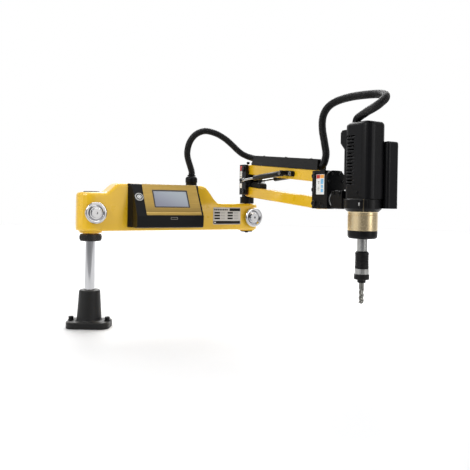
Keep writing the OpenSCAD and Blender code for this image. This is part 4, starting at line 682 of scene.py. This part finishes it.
for part, ink_of_it, z, w, h in (("red", RED, 523.5, 13, 17), ("pale", PALE, 499.5, 14, 26),
                                 ("low", PALE, 461, 14, 17)):
    plate(f"yoke_label_{part}", CHEEK @ shift(CHEEK_MIDDLE, z, 0), "yoke", "button",
          ink_of_it, w, h, YOKE_LABEL_T, 1)
prints("yoke_label_lines", CHEEK @ shift(CHEEK_MIDDLE, 499.5, 0), "yoke", "button", GREY,
       [(0, 8, 9, 1.4), (0, 4.6, 10, 1.4), (0, 1.2, 7, 1.4), (0, -6, 9, 4)],
       YOKE_LABEL_T, THIN_PRINT_T)

# Front and back: sockets in the pivot bolts, locking rings on the gas springs' studs, and
# the brackets' screws with their washers
YOKE_PINS = [(YOKE_PIVOT_X, LOWER_PIVOT_Z), (YOKE_PIVOT_X, UPPER_PIVOT_Z)]
END_PINS = [(439.487, z) for z in (404.137, 444.137, 484.137)]
PIN_FACE, STUD_FACE, BRACKET_FACE, RING_SUNK = 36, 49.8, 29, -0.2
for side, mark in ((-1, "front"), (1, "back")):
    face = facing(ELBOW, 0, side * PIN_FACE, 0, side)
    for name, body, pins in (("yoke_pin_sockets", "yoke", YOKE_PINS),
                             ("end_pin_sockets", "end_block", END_PINS)):
        heads(f"{name}_{mark}", face, body, "black_steel", [(-side * x, z) for x, z in pins],
              13.5, 1.6, GLOSS_BLACK)
    outward = turn(-side * 90, "X")
    bm = bmesh.new()
    ring_arc(bm, 3.6, 6.0, RING_SUNK, 0.9)
    add(f"stud_ring_{mark}", bm, UPPER @ shift(255, side * STUD_FACE, 0) @ outward,
        "upper_link", "steel")
    screw = UPPER @ shift(281, side * BRACKET_FACE, 0) @ outward
    heads(f"bracket_screw_{mark}", screw, "upper_link", "steel", [(0, 0)], 12.5, 2.2)
    bm = bmesh.new()
    ring_arc(bm, 6.6, 7.8, RING_SUNK, 0.5)
    add(f"bracket_washer_{mark}", bm, screw, "upper_link", "steel")

# Screws of the end block, the swivel plate, the cap, the covers, the clamp and the duct
heads("end_block_screws", CHEEK, "end_block", "steel", [(468.7, 405.2), (481, 396.8)],
      7, 2.2, GLOSS_BLACK)
PLATE_FACE = ELBOW @ shift(499, 0, 0) @ turn(90, "Y") @ turn(90, "Z")
heads("swivel_plate_screws", PLATE_FACE, "end_block", "black_steel",
      [(25.5, 468), (-25.5, 468), (13, 489), (-13, 489)], 9, 4, GLOSS_BLACK)
CAP_TOP, CAP_SCREW_R = 427.5, 19
heads("cap_screws", ARM @ shift(0, 0, CAP_TOP), "control_arm", "steel",
      [(CAP_SCREW_R * math.cos(math.radians(90 * k)),
        CAP_SCREW_R * math.sin(math.radians(90 * k))) for k in range(4)], 5.2, 1.1)
REAR_FACE, INLET_FACE, BOX_BACK, SHROUD_FACE = 44, 49, 71.5, -32
heads("rear_cover_screws", facing(ARM, 0, REAR_FACE, 0, 1), "control_arm", "steel",
      [(-x, z) for x in (119, 222, 325) for z in (329, 419)], 7, 2.4)
heads("inlet_screws", facing(ARM, 0, INLET_FACE, 0, 1), "control_arm", "steel",
      [(-158 + k, 374) for k in (-19.5, 19.5)], 5, 1.6)
heads("side_box_screws", facing(HEAD, 0, BOX_BACK, 0, 1), "head", "black_steel",
      [(-x, z) for x in (-22, 50) for z in (404, 560)], 7, 2.4)
heads("shroud_screws", facing(HEAD, 0, SHROUD_FACE, 0), "head", "black_steel", [(12, 436)],
      7, 2.4)
SLIT = HEAD @ turn(-40, "Z") @ shift(54.5, -10, 404.5) @ turn(90, "X")
heads("clamp_screw", SLIT, "head", "steel", [(0, 0)], 8.5, 4)
DUCT_TOP = 50.5
heads("duct_screws", UPPER @ shift(0, 0, DUCT_TOP), "upper_link", "steel",
      [(x, 0) for x in (80, 215, 350)], 8, 2.4)

# Knurling round the stop collar, left out at its clamp screw
KNURLS, KNURL_R, KNURL_LOW, KNURL_HIGH, KNURL_GAP = 48, 34, 277, 289, 8
bm = bmesh.new()
for k in range(KNURLS):
    a = 2 * math.pi * k / KNURLS
    if abs(math.degrees(a) - ARM_YAW) < KNURL_GAP:
        continue
    slab(bm, outline(1.6, 1.4, 0.3, 1), KNURL_LOW, KNURL_HIGH, 0.2, KNURL_R * math.cos(a),
         KNURL_R * math.sin(a))
add("collar_knurl", bm, None, "base", "black_steel", OWN["column_collar"])

# ---------------------------------------------------------------- floor and light
# The floor in mm, and where its painted shade fades in, in metres in front of the column
FLOOR_R, FLOOR_LOW, FLOOR_TOP, FLOOR_MIDDLE = 7000.0, -2.0, -0.4, (455, 0)
FADE_FAR, FADE_NEAR = -1.4, -0.93


def floor_painted_shade(t, place, shade):
    """Near white under the machine, with painted shade making it light grey far in front of it."""
    at = t.nodes.new("ShaderNodeSeparateXYZ")
    t.links.new(place, at.inputs["Vector"])
    near = mapped(t, at.outputs["Y"], 0, 1, FADE_FAR, FADE_NEAR, smooth=True)
    # Painted shade: light grey far in front, which shiny parts reflect as dark
    return mixed(t, near, (0.32, 0.32, 0.325, 1), shade)


floor_mesh = bpy.data.meshes.new("floor")
bm = bmesh.new()
lathe(bm, [(0.0, FLOOR_LOW), (FLOOR_R, FLOOR_LOW), (FLOOR_R, FLOOR_TOP), (0.0, FLOOR_TOP)],
      sides=96, centre=FLOOR_MIDDLE)
bm.to_mesh(floor_mesh)
bm.free()
floor = bpy.data.objects.new("floor", floor_mesh)
scene.collection.objects.link(floor)
floor_mesh.materials.append(
    finish("floor", srgb(212, 212, 212), 0.6, tint=0.01, blotch=2, swing=0.05, grain=60,
           depth=0.00001, edge=0.0001, cover=floor_painted_shade))

# A soft studio round the machine, by direction: dim in front, bright at both front sides,
# dimmer at the far right, white behind
world = bpy.data.worlds.new("studio")
scene.world = world
world.use_nodes = True
w = world.node_tree
background = w.nodes["Background"]
way = w.nodes.new("ShaderNodeTexCoord").outputs["Generated"]
parts = w.nodes.new("ShaderNodeSeparateXYZ")
w.links.new(way, parts.inputs["Vector"])
ACROSS, DEEP = parts.outputs["X"], parts.outputs["Y"]


def zone(value, start, end):
    """0 before start, 1 after end, soft between."""
    return mapped(w, value, 0.0, 1.0, start, end, smooth=True)


front = zone(DEEP, -0.95, -0.78)
back = zone(DEEP, 0.35, 0.85)
right = zone(ACROSS, 0.8, 0.97)
sides = maths(w, "MULTIPLY", mapped(w, DEEP, 1.0, 0.0, -0.3, 0.1, smooth=True),
              maths(w, "MAXIMUM", zone(ACROSS, 0.42, 0.6), zone(ACROSS, -0.62, -0.85)))
around = mixed(w, front, (0.13, 0.13, 0.135, 1), (0.6, 0.61, 0.63, 1))
around = mixed(w, sides, around, (1.15, 1.13, 1.1, 1))
around = mixed(w, right, around, (0.3, 0.3, 0.31, 1))
w.links.new(mixed(w, back, around, (1.0, 1.0, 1.0, 1)), background.inputs["Color"])
background.inputs["Strength"].default_value = 1.0


def lamp(name, place, target, size, power, tall=None):
    """A soft box at place, turned to target, in metres and watts."""
    data = bpy.data.lights.new(name, "AREA")
    data.shape = "RECTANGLE"
    data.size, data.size_y, data.energy = size, tall or size, power
    obj = bpy.data.objects.new(name, data)
    scene.collection.objects.link(obj)
    obj.location = place
    obj.rotation_euler = (Vector(target) - Vector(place)).to_track_quat("-Z", "Y").to_euler()


lamp("key", (-0.9, -1.45, 1.45), (0.25, 0.0, 0.38), 0.6, 15, 0.9)
lamp("fill", (2.3, -1.4, 0.9), (0.6, -0.1, 0.35), 0.6, 7, 1.2)
lamp("top", (0.5, -0.1, 2.5), (0.45, 0.0, 0.3), 1.6, 13)
lamp("backdrop", (0.5, 4.2, 3.2), (0.5, 4.0, 0.0), 5.0, 420)
scene.view_settings.view_transform = "Standard"
